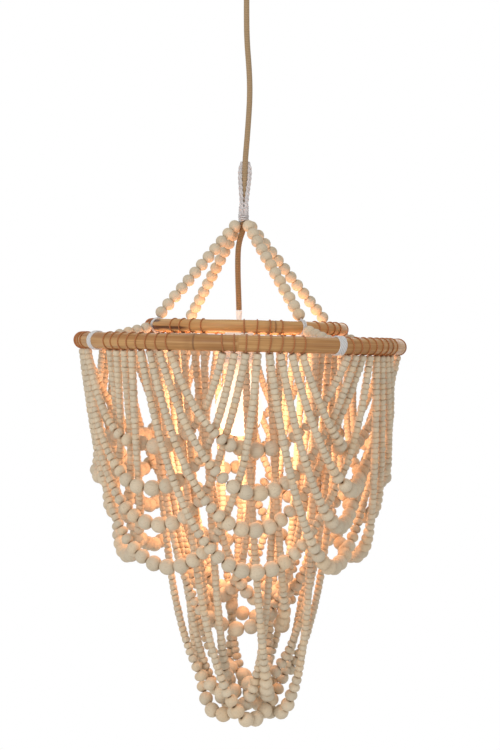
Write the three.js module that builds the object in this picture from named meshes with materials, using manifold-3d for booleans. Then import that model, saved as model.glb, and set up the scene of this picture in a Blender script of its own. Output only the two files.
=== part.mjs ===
// Beaded chandelier: two bent bamboo hoops that hang one below the other on strings of wooden beads,
// with two tiers of graduated bead garlands round a single lamp. It hangs from a ceiling rose by its cord.
// Millimetres, +Z up. The origin is the middle of the rose's face against the ceiling, so the light
// reaches down to negative heights. Angles go round the vertical axis, from the front (-Y) to +X.
import * as THREE from "three";
import { mergeVertices } from "three/addons/utils/BufferGeometryUtils.js";
import Module from "manifold-3d";

const wasm = await Module();
wasm.setup();
const degree = Math.PI / 180;

// Clearances
const seatGap = 0.3; // left between two pieces that touch
const pivotGap = 0.6; // left at the crown, where the frame and the lamp swing
const stringGap = 0.5; // kept between two bead strings that lie against each other
const weld = 0.001; // points nearer than this are one point
const overrun = 1; // how far a cutting tool passes the faces that it cuts

// Ceiling rose and what it covers
const rose = {
  radius: 55, depth: 30, wall: 1.5, shoulder: 14, shoulderWidth: 15, easeShare: 0.25, sides: 20,
};
const stud = { radius: 2, tail: 7, collarRadius: 3.8, collarHeight: 3, sides: 8 };
// endGap is left between each end and the rose, slotEdge outside each slot, and holeEdge between a slot
// and the stud's hole beside it
const crossbar = {
  endGap: 4.5, width: 16, thickness: 2, slotLength: 10, slotWidth: 4.6, slotEdge: 4, holeEdge: 4.7,
  arcSteps: 3,
};
const crossbarLength = 2 * (rose.radius - rose.wall - crossbar.endGap);
const slotSpacing = crossbarLength - 2 * crossbar.slotEdge - crossbar.slotLength;
const studSpacing = slotSpacing - crossbar.slotLength - 2 * (crossbar.holeEdge + stud.radius + seatGap);
const capNut = { radius: 4.6, height: 10, crownHeight: 4, tipRadius: 2 };
// footRise is from the middle of the grip's foot to its rim, and leaves the cord room to swing
const grip = {
  stemRadius: 5, flangeRadius: 8, flangeHeight: 3, tailLength: 20, tailRadius: 4.4, footRise: 1.1,
  stemRise: 8, sides: 12,
};
const gripNut = { radius: 8.5, height: 4 };
const terminal = { length: 26, width: 12, height: 9 };
const innerTail = { radius: 3 };

// Cord, and the rope that is knotted onto it
const supplyCord = { radius: 3.5 };
const lampLead = { radius: supplyCord.radius };
const cordSides = 8;
const rope = {
  topDrop: 262, strandRadius: 2.3, bulge: 0.4, knotHeight: 7, bundleHeight: 21, bindRise: 0.5,
  sides: 8, bindings: 3, strandSteps: 6, strandSides: 6,
};
const knotPlace = 6; // place of the rope's upper knot in the cord's route, counted from the lower end
const crown = { drop: 337, offset: -4 }; // lower end of the bound bundle, and how far it hangs off the axis

// Hoops: drop is down to the middle of the pole, radius is of its centre line. tieTurn is the angle of the
// first tie, and tieSteps says which segment each tie is on, counted from there.
const innerHoop = {
  radius: 118.5, pole: 7.8, drop: 469.4, offset: 0, groupTurn: 9.3, segments: 29,
  tieTurn: -66, tieSteps: [0, 8, 15, 23], tieWidth: 7,
};
const outerHoop = {
  radius: 196.25, pole: 9.75, drop: 489.6, offset: -8, groupTurn: 8, segments: 34,
  tieTurn: -60, tieSteps: [0, 9, 17, 26], tieWidth: 12,
};
const hoopSlope = 0.0227; // fall of both hoops towards +X
const poleSides = 8;
const tie = { thickness: 1.6, sides: 8 };

// Beads: pitch is the share of its diameter that a bead takes up along its thread. In the garlands it
// falls with the size, because the small beads are flatter.
const bead = {
  small: 9.6, large: 19.6, pitchShare: 0.89, smallPitchShare: 0.68, largePitchShare: 0.92,
  neckShare: 0.6, legShare: 0.94, sides: 5,
};
const thread = { radius: 0.8, sides: 4 };
const suspension = {
  beads: 12, startRadius: 11.8, startDrop: 6.5, diameter: 15.4, threadSeat: 5, threadRadius: 1.1,
};
const spoke = { diameter: 13 }; // eased in each string, so that whole beads fill it

// Garlands, eight on each hoop. A swag reaches halfTurn to each side of its middle and hangs sag below
// the pole's centre line, changed by sagStep in every second garland. graduation is how many beads from
// the middle the large size fades, and legSteps the steps of the tapering run of small beads above them.
const groups = 8;
const outerTier = {
  hoop: outerHoop,
  middleTurn: 0,
  lean: 8,
  sides: 4,
  swags: [
    { halfTurn: 31.7, sag: 123, sagStep: 0, graduation: 3.4, legSteps: 3 },
    { halfTurn: 35.5, sag: 167, sagStep: 0, graduation: 4, legSteps: 3 },
    { halfTurn: 39.3, sag: 215, sagStep: 0, graduation: 4.6, legSteps: 4 },
    { halfTurn: 43.1, sag: 266, sagStep: 0, graduation: 5.2, legSteps: 4 },
  ],
};
const lowerTier = {
  hoop: innerHoop,
  middleTurn: 22.5,
  lean: 8,
  sides: 4,
  partnerStep: 3, // a lower garland joins its deep swag to the high swag this many garlands on
  swags: [
    { halfTurn: 78, sag: 474, sagStep: -16, graduation: 4.8, legSteps: 4 },
    { halfTurn: 64, sag: 336, sagStep: 36, graduation: 4.2, legSteps: 4 },
  ],
};
const modelledBeadCount = 3; // large beads modelled one by one on each side of a swag's middle bead
const settleRounds = 400; // rounds in which touching strings ease apart
const settleGainShare = 0.6; // of an overlap, taken away in one round
const settleSpreadShare = 0.12; // of a bend between neighbouring places, evened out in one round
const parallelShare = 1e-9; // two stretches whose directions differ by less than this count as parallel
// Bounds of half width over parameter in the search for a catenary, from the tautest to the slackest
const sagSearch = { low: 1e-3, high: 14, rounds: 60 };

// Lampholder and bulb, below the lead
const lampOffset = -9.5;
const lampSides = 12;
const sleeve = { drop: 448, length: 18, radius: 4 };
const holder = { radius: 19.5, capHeight: 20, bodyHeight: 36, wall: 2, neckRadius: 6, ringRise: 5 };
const capShares = { shoulderRadius: 0.75, shoulder: 0.3, skirt: 0.7, inside: 0.55 };
const holderRing = { thickness: 3.4, height: 9 };
const insert = { height: 8 };
const screwShell = { radius: 14.6, wall: 0.6, height: 24 };
const bulb = { capRadius: 13.2, capHeight: 25, capWall: 0.6, contactHeight: 3, contactRadius: 5 };
const glass = { radius: 30, height: 85, neckRadius: 14.5, wall: 1, bellyShare: 0.62, steps: 4 };

// The routes of the cord and the lead, chosen by hand, from the grip down: x, y, z
const supplyRoute = [
  [0, 0, -53.3], [0, 0, -62], [0, 0, -76], [0.1, 0, -92], [0.4, 0, -106], [1.2, 0, -122], [2.4, 0, -138],
  [3.4, 0, -154], [3.9, 0, -170], [3.7, 0, -186], [2.9, 0, -202], [1.8, 0, -218], [0.6, 0, -234],
  [-0.6, 0, -248], [-1.6, 0, -262], [-2.08, 0, -277], [-2.56, 0, -292], [-3.04, 0, -307], [-3.52, 0, -322],
  [-4, 0, -337],
];
const leadRoute = [
  [-4, 0, -337.6], [-4.3, 0, -344], [-6, 0, -350.5], [-8.4, 0, -358], [-10.1, 0, -368], [-10.8, 0, -381],
  [-10.9, 0, -396], [-10.6, 0, -412], [-10.1, 0, -427], [-9.7, 0, -440], [-9.5, 0, -447.7],
];

const finish = (color, roughness, metalness = 0) =>
  new THREE.MeshStandardMaterial({ color, roughness, metalness });
const materials = {
  bead: finish(0xcdbd9f, 0.75),
  bamboo: finish(0xbd9660, 0.45),
  whiteCord: finish(0xdedbd4, 0.9),
  cordFabric: finish(0xa0865c, 0.9),
  roseSteel: finish(0xe8e6e0, 0.45, 0.1),
  zincSteel: finish(0xa9abad, 0.4, 0.9),
  whitePlastic: finish(0xeeece6, 0.4),
  brass: finish(0xb9954b, 0.35, 0.9),
  bulbGlass: finish(0xfff0d8, 0.2),
};

// Shapes

function revolved(profile, segments) {
  const points = profile.map(([r, z]) => new THREE.Vector2(r, z));
  const onAxis = points[0].x === 0 && points.at(-1).x === 0;
  if (THREE.ShapeUtils.area(points) < 0) points.reverse();
  if (!onAxis) points.push(points[0].clone());
  return new THREE.LatheGeometry(points, segments).rotateX(Math.PI / 2);
}

function solidOf(geometry) {
  const loose = geometry.index ? geometry.toNonIndexed() : geometry;
  const bare = new THREE.BufferGeometry().setAttribute("position", loose.getAttribute("position"));
  const merged = mergeVertices(bare, weld);
  const triVerts = new Uint32Array(merged.index.array);
  return new wasm.Manifold(
    new wasm.Mesh({ numProp: 3, vertProperties: merged.attributes.position.array, triVerts }),
  );
}

function geometryOf(solid) {
  const { vertProperties, triVerts } = solid.getMesh();
  const geometry = new THREE.BufferGeometry();
  geometry.setAttribute("position", new THREE.BufferAttribute(vertProperties, 3));
  geometry.setIndex(new THREE.BufferAttribute(triVerts, 1));
  geometry.computeVertexNormals();
  return geometry;
}

const joined = (geometries) =>
  geometryOf(geometries.map(solidOf).reduce((whole, next) => whole.add(next)));

const cut = (geometry, tools) =>
  geometryOf(tools.map(solidOf).reduce((whole, tool) => whole.subtract(tool), solidOf(geometry)));

// A closed tube whose rings stand at the given stations: at is a ring's middle, along its axis.
// across steers the turn of every ring, so that neighbours line up.
function ringTube(stations, sides, across) {
  const positions = [];
  stations.forEach(({ at, radius, along }, i) => {
    const before = stations[Math.max(i - 1, 0)].at;
    const after = stations[Math.min(i + 1, stations.length - 1)].at;
    const axis = (along ?? after.clone().sub(before)).clone().normalize();
    const side = across.clone().addScaledVector(axis, -across.dot(axis)).normalize();
    const out = side.clone().cross(axis);
    for (let k = 0; k < sides; k++) {
      const turn = (k / sides) * 2 * Math.PI;
      const point = at.clone().addScaledVector(out, radius * Math.cos(turn));
      positions.push(...point.addScaledVector(side, radius * Math.sin(turn)).toArray());
    }
  });
  const index = [];
  const corner = (ring, k) => ring * sides + (k % sides);
  for (let ring = 0; ring + 1 < stations.length; ring++)
    for (let k = 0; k < sides; k++) {
      const [a, b] = [corner(ring, k), corner(ring, k + 1)];
      const [c, d] = [corner(ring + 1, k + 1), corner(ring + 1, k)];
      index.push(a, b, c, a, c, d);
    }
  const last = stations.length - 1;
  for (let k = 1; k + 1 < sides; k++) {
    index.push(corner(0, 0), corner(0, k + 1), corner(0, k));
    index.push(corner(last, 0), corner(last, k), corner(last, k + 1));
  }
  const geometry = new THREE.BufferGeometry();
  geometry.setAttribute("position", new THREE.Float32BufferAttribute(positions, 3));
  geometry.setIndex(index);
  geometry.computeVertexNormals();
  return geometry;
}

// A round cord along its route.
function cordAlong(route, radius) {
  const curve = new THREE.CatmullRomCurve3(route.map((p) => new THREE.Vector3(...p)));
  const section = new THREE.Shape();
  for (let k = 0; k < cordSides; k++) {
    const turn = (k / cordSides) * 2 * Math.PI;
    section[k ? "lineTo" : "moveTo"](radius * Math.cos(turn), radius * Math.sin(turn));
  }
  section.closePath();
  const steps = route.length - 1;
  return new THREE.ExtrudeGeometry(section, { extrudePath: curve, steps, bevelEnabled: false });
}

// Directions and places on a hoop
const outwardAt = (turn) => new THREE.Vector3(Math.sin(turn), -Math.cos(turn), 0);
const alongAt = (turn) => new THREE.Vector3(Math.cos(turn), Math.sin(turn), 0);
const middleOf = (hoop) => new THREE.Vector3(hoop.offset, 0, -hoop.drop);
const flatRadius = (hoop) => hoop.radius * Math.cos(Math.PI / hoop.segments);
const placeOn = (hoop, turn) => middleOf(hoop).addScaledVector(outwardAt(turn), flatRadius(hoop));

const chandelier = new THREE.Group();
const swinging = new THREE.Group(); // everything that hangs from the crown
const lamp = new THREE.Group();
lamp.position.x = lampOffset;
chandelier.add(swinging, lamp);

function addPiece(parent, name, geometry, material) {
  const mesh = new THREE.Mesh(geometry, material);
  mesh.name = name;
  parent.add(mesh);
  return mesh;
}

// Ceiling rose

function roseShell() {
  const { radius, depth, wall, shoulder, shoulderWidth } = rose;
  const flat = radius - shoulderWidth;
  const middle = radius - shoulderWidth * rose.easeShare;
  const shell = revolved(
    [
      [grip.stemRadius + seatGap, -depth], [flat, -depth], [middle, -(depth + shoulder) / 2],
      [radius, -shoulder], [radius, 0], [radius - wall, 0], [radius - wall, -shoulder],
      [middle - wall, -(depth + shoulder) / 2 + wall / 2], [flat - wall / 2, wall - depth],
      [grip.stemRadius + seatGap, wall - depth],
    ],
    rose.sides,
  );
  const holes = [-1, 1].map((side) =>
    new THREE.CylinderGeometry(stud.radius + seatGap, stud.radius + seatGap, wall + 2 * overrun, stud.sides)
      .rotateX(Math.PI / 2)
      .translate((side * studSpacing) / 2, 0, wall / 2 - depth),
  );
  return cut(shell, holes);
}

function crossbarPlate() {
  const { width, thickness, slotLength, slotWidth } = crossbar;
  const end = width / 2;
  const shape = new THREE.Shape();
  shape.absarc(crossbarLength / 2 - end, 0, end, -Math.PI / 2, Math.PI / 2);
  shape.absarc(end - crossbarLength / 2, 0, end, Math.PI / 2, (3 * Math.PI) / 2);
  for (const side of [-1, 1]) {
    const slot = new THREE.Path();
    const run = (slotLength - slotWidth) / 2;
    const x = (side * slotSpacing) / 2;
    slot.absarc(x + run, 0, slotWidth / 2, -Math.PI / 2, Math.PI / 2);
    slot.absarc(x - run, 0, slotWidth / 2, Math.PI / 2, (3 * Math.PI) / 2);
    const hole = new THREE.Path();
    hole.absarc((side * studSpacing) / 2, 0, stud.radius + seatGap, 0, 2 * Math.PI);
    shape.holes.push(slot, hole);
  }
  const plate = { depth: thickness, bevelEnabled: false, curveSegments: crossbar.arcSteps };
  return new THREE.ExtrudeGeometry(shape, plate).translate(0, 0, -thickness);
}

function studPin() {
  const collarTop = -crossbar.thickness - seatGap;
  const collarFoot = collarTop - stud.collarHeight;
  return revolved(
    [
      [0, -seatGap], [stud.radius, -seatGap], [stud.radius, collarTop], [stud.collarRadius, collarTop],
      [stud.collarRadius, collarFoot], [stud.radius, collarFoot], [stud.radius, -rose.depth - stud.tail],
      [0, -rose.depth - stud.tail],
    ],
    stud.sides,
  );
}

function capNutShell() {
  const top = -rose.depth - seatGap;
  const boreEnd = -rose.depth - stud.tail - seatGap;
  return revolved(
    [
      [0, boreEnd], [stud.radius + seatGap, boreEnd], [stud.radius + seatGap, top], [capNut.radius, top],
      [capNut.radius, capNut.crownHeight + top - capNut.height], [capNut.tipRadius, top - capNut.height],
      [0, top - capNut.height],
    ],
    stud.sides,
  );
}

function buildRose() {
  addPiece(chandelier, "ceiling_crossbar", crossbarPlate(), materials.zincSteel);
  addPiece(chandelier, "ceiling_rose", roseShell(), materials.roseSteel);
  for (const [name, side] of [["left", -1], ["right", 1]]) {
    const x = (side * studSpacing) / 2;
    addPiece(chandelier, "rose_stud_" + name, studPin(), materials.zincSteel).position.x = x;
    addPiece(chandelier, "cap_nut_" + name, capNutShell(), materials.brass).position.x = x;
  }
  const flangeTop = -rose.depth - seatGap;
  const gripFoot = flangeTop - grip.flangeHeight - grip.tailLength + seatGap;
  const gripProfile = [
    [0, flangeTop + grip.stemRise], [grip.stemRadius, flangeTop + grip.stemRise],
    [grip.stemRadius, flangeTop], [grip.flangeRadius, flangeTop],
    [grip.flangeRadius, flangeTop - grip.flangeHeight],
    [grip.stemRadius + seatGap, flangeTop - grip.flangeHeight],
    [grip.tailRadius, gripFoot + grip.footRise], [0, gripFoot],
  ];
  addPiece(chandelier, "cord_grip", revolved(gripProfile, grip.sides), materials.whitePlastic);
  const nutFoot = rose.wall - rose.depth + seatGap;
  const nutBore = (grip.stemRadius + seatGap) / Math.cos(Math.PI / grip.sides);
  const nutProfile = [
    [nutBore, nutFoot], [gripNut.radius, nutFoot], [gripNut.radius, nutFoot + gripNut.height],
    [nutBore, nutFoot + gripNut.height],
  ];
  addPiece(chandelier, "grip_nut", revolved(nutProfile, grip.sides), materials.whitePlastic);
  const blockTop = -crossbar.thickness - seatGap;
  const block = new THREE.BoxGeometry(terminal.length, terminal.width, terminal.height);
  block.translate(0, 0, blockTop - terminal.height / 2);
  addPiece(chandelier, "terminal_block", block, materials.whitePlastic);
  const tailTop = blockTop - terminal.height - seatGap;
  const tailFoot = flangeTop + grip.stemRise + seatGap;
  const tail = new THREE.CylinderGeometry(innerTail.radius, innerTail.radius, tailTop - tailFoot, cordSides);
  tail.rotateX(Math.PI / 2).translate(0, 0, (tailTop + tailFoot) / 2);
  addPiece(chandelier, "inner_cord_tail", tail, materials.cordFabric);
}

// Cord and crown

function crownRope() {
  const bore = (supplyCord.radius + seatGap) / Math.cos(Math.PI / rope.sides);
  const length = crown.drop - rope.topDrop;
  const outer = bore + rope.strandRadius;
  const binding = [[bore, 0], [bore, rope.bundleHeight]];
  for (let i = rope.bindings; i >= 0; i--) {
    binding.push([outer, (rope.bundleHeight * i) / rope.bindings]);
    if (i) binding.push([outer + rope.bindRise, (rope.bundleHeight * (i - 1 / 2)) / rope.bindings]);
  }
  const bundle = revolved(binding, rope.sides);
  const knotProfile = [[bore, 0], [outer, 0], [outer, rope.knotHeight], [bore, rope.knotHeight]];
  const knot = revolved(knotProfile, rope.sides);
  knot.translate(0, 0, length - rope.knotHeight);
  const strands = [-1, 1].map((side) => {
    const foot = rope.bundleHeight - rope.knotHeight / 2;
    const reach = length - rope.knotHeight / 2 - foot;
    const stations = [];
    for (let i = 0; i <= rope.strandSteps; i++) {
      const out = bore + rope.strandRadius + rope.bulge * Math.sin((Math.PI * i) / rope.strandSteps);
      const at = new THREE.Vector3(side * out, 0, foot + (reach * i) / rope.strandSteps);
      stations.push({ at, radius: rope.strandRadius });
    }
    return ringTube(stations, rope.strandSides, new THREE.Vector3(0, 1, 0));
  });
  return joined([bundle, knot, ...strands]);
}

function buildCord() {
  addPiece(chandelier, "supply_cord", cordAlong(supplyRoute, supplyCord.radius), materials.cordFabric);
  const [topX, , topZ] = supplyRoute.at(-knotPlace);
  const [footX, , footZ] = supplyRoute.at(-1);
  const piece = addPiece(chandelier, "crown_rope", crownRope(), materials.whiteCord);
  piece.position.set(crown.offset, 0, -crown.drop);
  piece.rotation.y = Math.atan2(topX - footX, topZ - footZ);
  const lead = addPiece(lamp, "lamp_lead", cordAlong(leadRoute, lampLead.radius), materials.cordFabric);
  lead.position.x = -lampOffset;
}

// Hoops and their ties

function buildHoops() {
  for (const [name, hoop] of [["inner_hoop", innerHoop], ["outer_hoop", outerHoop]]) {
    const pole = new THREE.TorusGeometry(hoop.radius, hoop.pole, poleSides, hoop.segments);
    const piece = addPiece(swinging, name, pole, materials.bamboo);
    piece.position.copy(middleOf(hoop));
    piece.rotation.z = hoop.tieTurn * degree - Math.PI / 2 + Math.PI / hoop.segments;
  }
}

const tieTurns = (hoop) =>
  hoop.tieSteps.map((step) => hoop.tieTurn * degree + (step / hoop.segments) * 2 * Math.PI);
const tieCorner = 1 / Math.cos(Math.PI / tie.sides); // reach of a tie's corner over that of its flats
const tieReach = (hoop) => hoop.pole + seatGap + tie.thickness;

function buildTies() {
  for (const [name, hoop] of [["inner_tie_", innerHoop], ["outer_tie_", outerHoop]]) {
    const bore = (hoop.pole + seatGap) * tieCorner;
    const outer = tieReach(hoop) * tieCorner;
    const half = hoop.tieWidth / 2;
    tieTurns(hoop).forEach((turn, i) => {
      const ring = revolved([[bore, -half], [outer, -half], [outer, half], [bore, half]], tie.sides);
      ring.rotateZ(Math.PI / tie.sides).rotateY(Math.PI / 2);
      const piece = addPiece(swinging, name + (i + 1), ring, materials.whiteCord);
      piece.position.copy(placeOn(hoop, turn));
      piece.rotation.z = turn;
    });
  }
}

// Straight strings of equal beads

const neckOf = (diameter) => (diameter / 2) * bead.neckShare;

// Beads between two places. With a lead, the string starts there as bare thread and ends as thread too.
function straightString(from, to, count, diameter, lead) {
  const way = to.clone().sub(from);
  const across = new THREE.Vector3(0, 0, 1).cross(way);
  const at = (share) => from.clone().addScaledVector(way, share);
  const neck = neckOf(diameter);
  const end = lead ? suspension.threadRadius : neck;
  const down = new THREE.Vector3(0, 0, -1);
  const stations = lead ? [{ at: lead, radius: end, along: down }] : [];
  stations.push({ at: at(0), radius: end });
  for (let i = 1; i <= count; i++) {
    stations.push({ at: at((i - 1 / 2) / count), radius: diameter / 2 });
    stations.push({ at: at(i / count), radius: i < count ? neck : end });
  }
  return ringTube(stations, bead.sides, across);
}

// A strand from the crown to the top of a tie of the inner hoop.
function suspensionStrand(turn) {
  const { diameter, threadRadius } = suspension;
  const crownFoot = new THREE.Vector3(crown.offset, 0, -crown.drop - pivotGap);
  const lead = crownFoot.clone().addScaledVector(outwardAt(turn), suspension.threadSeat);
  const first = crownFoot.clone().addScaledVector(outwardAt(turn), suspension.startRadius);
  first.z = -crown.drop - suspension.startDrop;
  const end = placeOn(innerHoop, turn);
  end.z += tieReach(innerHoop) + seatGap;
  const level = Math.hypot(end.x - first.x, end.y - first.y) / end.distanceTo(first);
  end.z += threadRadius * level;
  const down = end.clone().sub(first).normalize();
  const start = first.addScaledVector(down, (-diameter * bead.pitchShare) / 2);
  return straightString(start, end, suspension.beads, diameter, lead);
}

// A string from a tie of the inner hoop to one of the outer hoop.
function spokeStrand(innerTurn, outerTurn) {
  const inner = placeOn(innerHoop, innerTurn);
  const outer = placeOn(outerHoop, outerTurn);
  const across = outer.clone().sub(inner).normalize();
  const standOff = (hoop, turn) => {
    const slant = Math.abs(across.dot(alongAt(turn)));
    const clear = tieReach(hoop) * tieCorner + seatGap + neckOf(spoke.diameter) * slant;
    return clear / Math.sqrt(1 - slant * slant);
  };
  const from = inner.addScaledVector(across, standOff(innerHoop, innerTurn));
  const to = outer.addScaledVector(across, -standOff(outerHoop, outerTurn));
  const length = from.distanceTo(to);
  const count = Math.round(length / (spoke.diameter * bead.pitchShare));
  return straightString(from, to, count, length / count / bead.pitchShare);
}

function buildStraightStrings() {
  const outerTurns = tieTurns(outerHoop);
  tieTurns(innerHoop).forEach((turn, i) => {
    addPiece(swinging, "suspension_strand_" + (i + 1), suspensionStrand(turn), materials.bead);
    const spokeBeads = spokeStrand(turn, outerTurns[i]);
    addPiece(swinging, "spoke_strand_" + (i + 1), spokeBeads, materials.bead);
  });
}

// Hanging strings

// The catenary of the given half width and drop: its parameter is found by halving.
function catenary(half, drop) {
  let { low, high } = sagSearch;
  for (let i = 0; i < sagSearch.rounds; i++) {
    const k = (low + high) / 2;
    if ((Math.cosh(k) - 1) / k < drop / half) low = k;
    else high = k;
  }
  return half / ((low + high) / 2);
}

// A swag between two places of its hoop: nodes are the middles of its large beads and the steps of its
// legs, from the left end to the right. Its left leg leans outward and its right leg inward, so that
// each swag passes over the next one to the left.
function hangSwag(tier, swag, group) {
  const { hoop } = tier;
  const turn = (hoop.groupTurn + tier.middleTurn + (360 / groups) * group) * degree;
  const halfTurn = swag.halfTurn * degree;
  const half = hoop.radius * Math.sin(halfTurn);
  const top = -hoop.drop - hoop.pole - seatGap;
  const drop = swag.sag + (group % 2) * swag.sagStep - hoop.pole - seatGap;
  const parameter = catenary(half, drop);
  const reach = parameter * Math.sinh(half / parameter);
  const beadAt = (i) => {
    const growth = Math.exp(-((i / swag.graduation) ** 2));
    const diameter = bead.small + (bead.large - bead.small) * growth;
    const share = bead.smallPitchShare + (bead.largePitchShare - bead.smallPitchShare) * growth;
    return { s: 0, diameter, pitch: diameter * share };
  };
  const beads = [beadAt(0)];
  for (;;) {
    const last = beads.at(-1);
    const next = beadAt(beads.length);
    next.s = last.s + (last.pitch + next.pitch) / 2;
    if (next.s + next.pitch / 2 > reach) break;
    beads.push(next);
  }
  const pointAt = (s) => {
    const u = parameter * Math.asinh(s / parameter);
    const out = hoop.radius * Math.cos(halfTurn) - tier.lean * Math.sin((Math.PI * u) / half);
    const at = new THREE.Vector3(hoop.offset, 0, top - drop + parameter * (Math.cosh(u / parameter) - 1));
    return at.addScaledVector(outwardAt(turn), out).addScaledVector(alongAt(turn), u);
  };
  const right = [];
  for (const { s, diameter } of beads.slice(1, modelledBeadCount + 1)) {
    right.push({ s, radius: diameter / 2, large: true });
  }
  const { s: from } = beads[modelledBeadCount];
  for (let i = 1; i <= swag.legSteps; i++) {
    const s = from + ((reach - from) * i) / swag.legSteps;
    const nearest = beads.reduce((a, b) => (Math.abs(b.s - s) < Math.abs(a.s - s) ? b : a));
    right.push({ s, radius: (nearest.diameter / 2) * bead.legShare });
  }
  const left = right.map((node) => ({ ...node, s: -node.s })).reverse();
  const nodes = [...left, { s: 0, radius: beads[0].diameter / 2, large: true }, ...right];
  for (const node of nodes) node.at = pointAt(node.s);
  return { nodes, across: outwardAt(turn) };
}

// The nearest places of two straight stretches, as shares of their lengths.
function nearestShares(a0, a1, b0, b1) {
  const alongA = a1.clone().sub(a0);
  const alongB = b1.clone().sub(b0);
  const apart = a0.clone().sub(b0);
  const [aa, bb, ab] = [alongA.lengthSq(), alongB.lengthSq(), alongA.dot(alongB)];
  const [ca, cb] = [alongA.dot(apart), alongB.dot(apart)];
  const clamp = (value) => Math.min(Math.max(value, 0), 1);
  const crossing = Math.max(aa * bb - ab * ab, parallelShare * aa * bb);
  let shareA = clamp((ab * cb - ca * bb) / crossing);
  const free = (ab * shareA + cb) / bb;
  const shareB = clamp(free);
  if (shareB !== free) shareA = clamp((ab * shareB - ca) / aa);
  return [shareA, shareB];
}

// Eases strings apart where they lie closer than their beads allow. The ends stay at the hoop.
function settle(strings) {
  const pieces = [];
  strings.forEach(({ nodes }, string) => {
    for (let i = 0; i + 1 < nodes.length; i++) pieces.push({ string, a: nodes[i], b: nodes[i + 1] });
    nodes.forEach((node, i) => {
      node.shift = new THREE.Vector3();
      node.push = new THREE.Vector3();
      node.rest = node.at.clone();
      node.held = i === 0 || i === nodes.length - 1;
    });
  });
  const near = [];
  pieces.forEach((p, i) => {
    for (const q of pieces.slice(i + 1)) {
      if (q.string === p.string) continue;
      const [s, t] = nearestShares(p.a.at, p.b.at, q.a.at, q.b.at);
      const gap = p.a.at.clone().lerp(p.b.at, s).distanceTo(q.a.at.clone().lerp(q.b.at, t));
      if (gap < p.a.radius + p.b.radius + q.a.radius + q.b.radius) near.push([p, q]);
    }
  });
  for (let round = 0; round < settleRounds; round++) {
    for (const [p, q] of near) {
      const [s, t] = nearestShares(p.a.at, p.b.at, q.a.at, q.b.at);
      const away = p.a.at.clone().lerp(p.b.at, s).sub(q.a.at.clone().lerp(q.b.at, t));
      const width = p.a.radius * (1 - s) + p.b.radius * s + q.a.radius * (1 - t) + q.b.radius * t;
      const gap = away.length();
      if (gap >= width + stringGap) continue;
      away.multiplyScalar((settleGainShare * (width + stringGap - gap)) / 2 / gap);
      p.a.push.addScaledVector(away, 1 - s);
      p.b.push.addScaledVector(away, s);
      q.a.push.addScaledVector(away, t - 1);
      q.b.push.addScaledVector(away, -t);
    }
    const spread = round < settleRounds / 2 ? settleSpreadShare : 0;
    for (const { nodes } of strings) {
      const before = nodes.map((node) => node.shift.clone());
      nodes.forEach((node, i) => {
        if (!node.held) {
          const even = before[i - 1].clone().add(before[i + 1]).multiplyScalar(1 / 2).sub(before[i]);
          node.shift.addScaledVector(even, spread).add(node.push);
          node.at.copy(node.rest).add(node.shift);
        }
        node.push.set(0, 0, 0);
      });
    }
  }
}

function swagTube({ nodes, across }, sides) {
  const stations = [];
  const upright = new THREE.Vector3(0, 0, 1);
  nodes.forEach((node, i) => {
    const next = nodes[i + 1];
    const station = { at: node.at, radius: node.radius };
    if (i === 0) station.along = upright.clone().negate();
    if (!next) station.along = upright;
    stations.push(station);
    if (next && (node.large || next.large)) {
      const small = Math.min(node.radius, next.radius);
      const gap = node.at.distanceTo(next.at);
      const reach = node.large && next.large ? gap / 2 : small * bead.pitchShare;
      const at = node.at.clone().lerp(next.at, node.large ? reach / gap : 1 - reach / gap);
      stations.push({ at, radius: small * bead.neckShare });
    }
  });
  return ringTube(stations, sides, across);
}

// The thread that runs under the pole from the top of one leg to the next.
function threadRun(from, to) {
  const drop = new THREE.Vector3(0, 0, -thread.radius);
  const stations = [from, to].map((node) => ({ at: node.at.clone().add(drop), radius: thread.radius }));
  return ringTube(stations, thread.sides, new THREE.Vector3(0, 0, 1));
}

function buildGarlands() {
  const hang = (tier) =>
    Array.from({ length: groups }, (_, group) => tier.swags.map((swag) => hangSwag(tier, swag, group)));
  const outer = hang(outerTier);
  const lower = hang(lowerTier);
  settle([...outer.flat(), ...lower.flat()]);
  for (let group = 0; group < groups; group++) {
    const nested = outer[group];
    const parts = nested.map((swag) => swagTube(swag, outerTier.sides));
    for (let i = 0; i + 1 < nested.length; i++) {
      const end = i % 2 ? -1 : 0;
      parts.push(threadRun(nested[i].nodes.at(end), nested[i + 1].nodes.at(end)));
    }
    addPiece(swinging, "outer_garland_" + (group + 1), joined(parts), materials.bead);
    const deep = lower[group][0];
    const high = lower[(group + lowerTier.partnerStep) % groups][1];
    const run = threadRun(deep.nodes.at(-1), high.nodes.at(0));
    const tubes = [deep, high].map((swag) => swagTube(swag, lowerTier.sides));
    addPiece(swinging, "lower_garland_" + (group + 1), joined([...tubes, run]), materials.bead);
  }
}

// Lampholder and bulb

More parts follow.
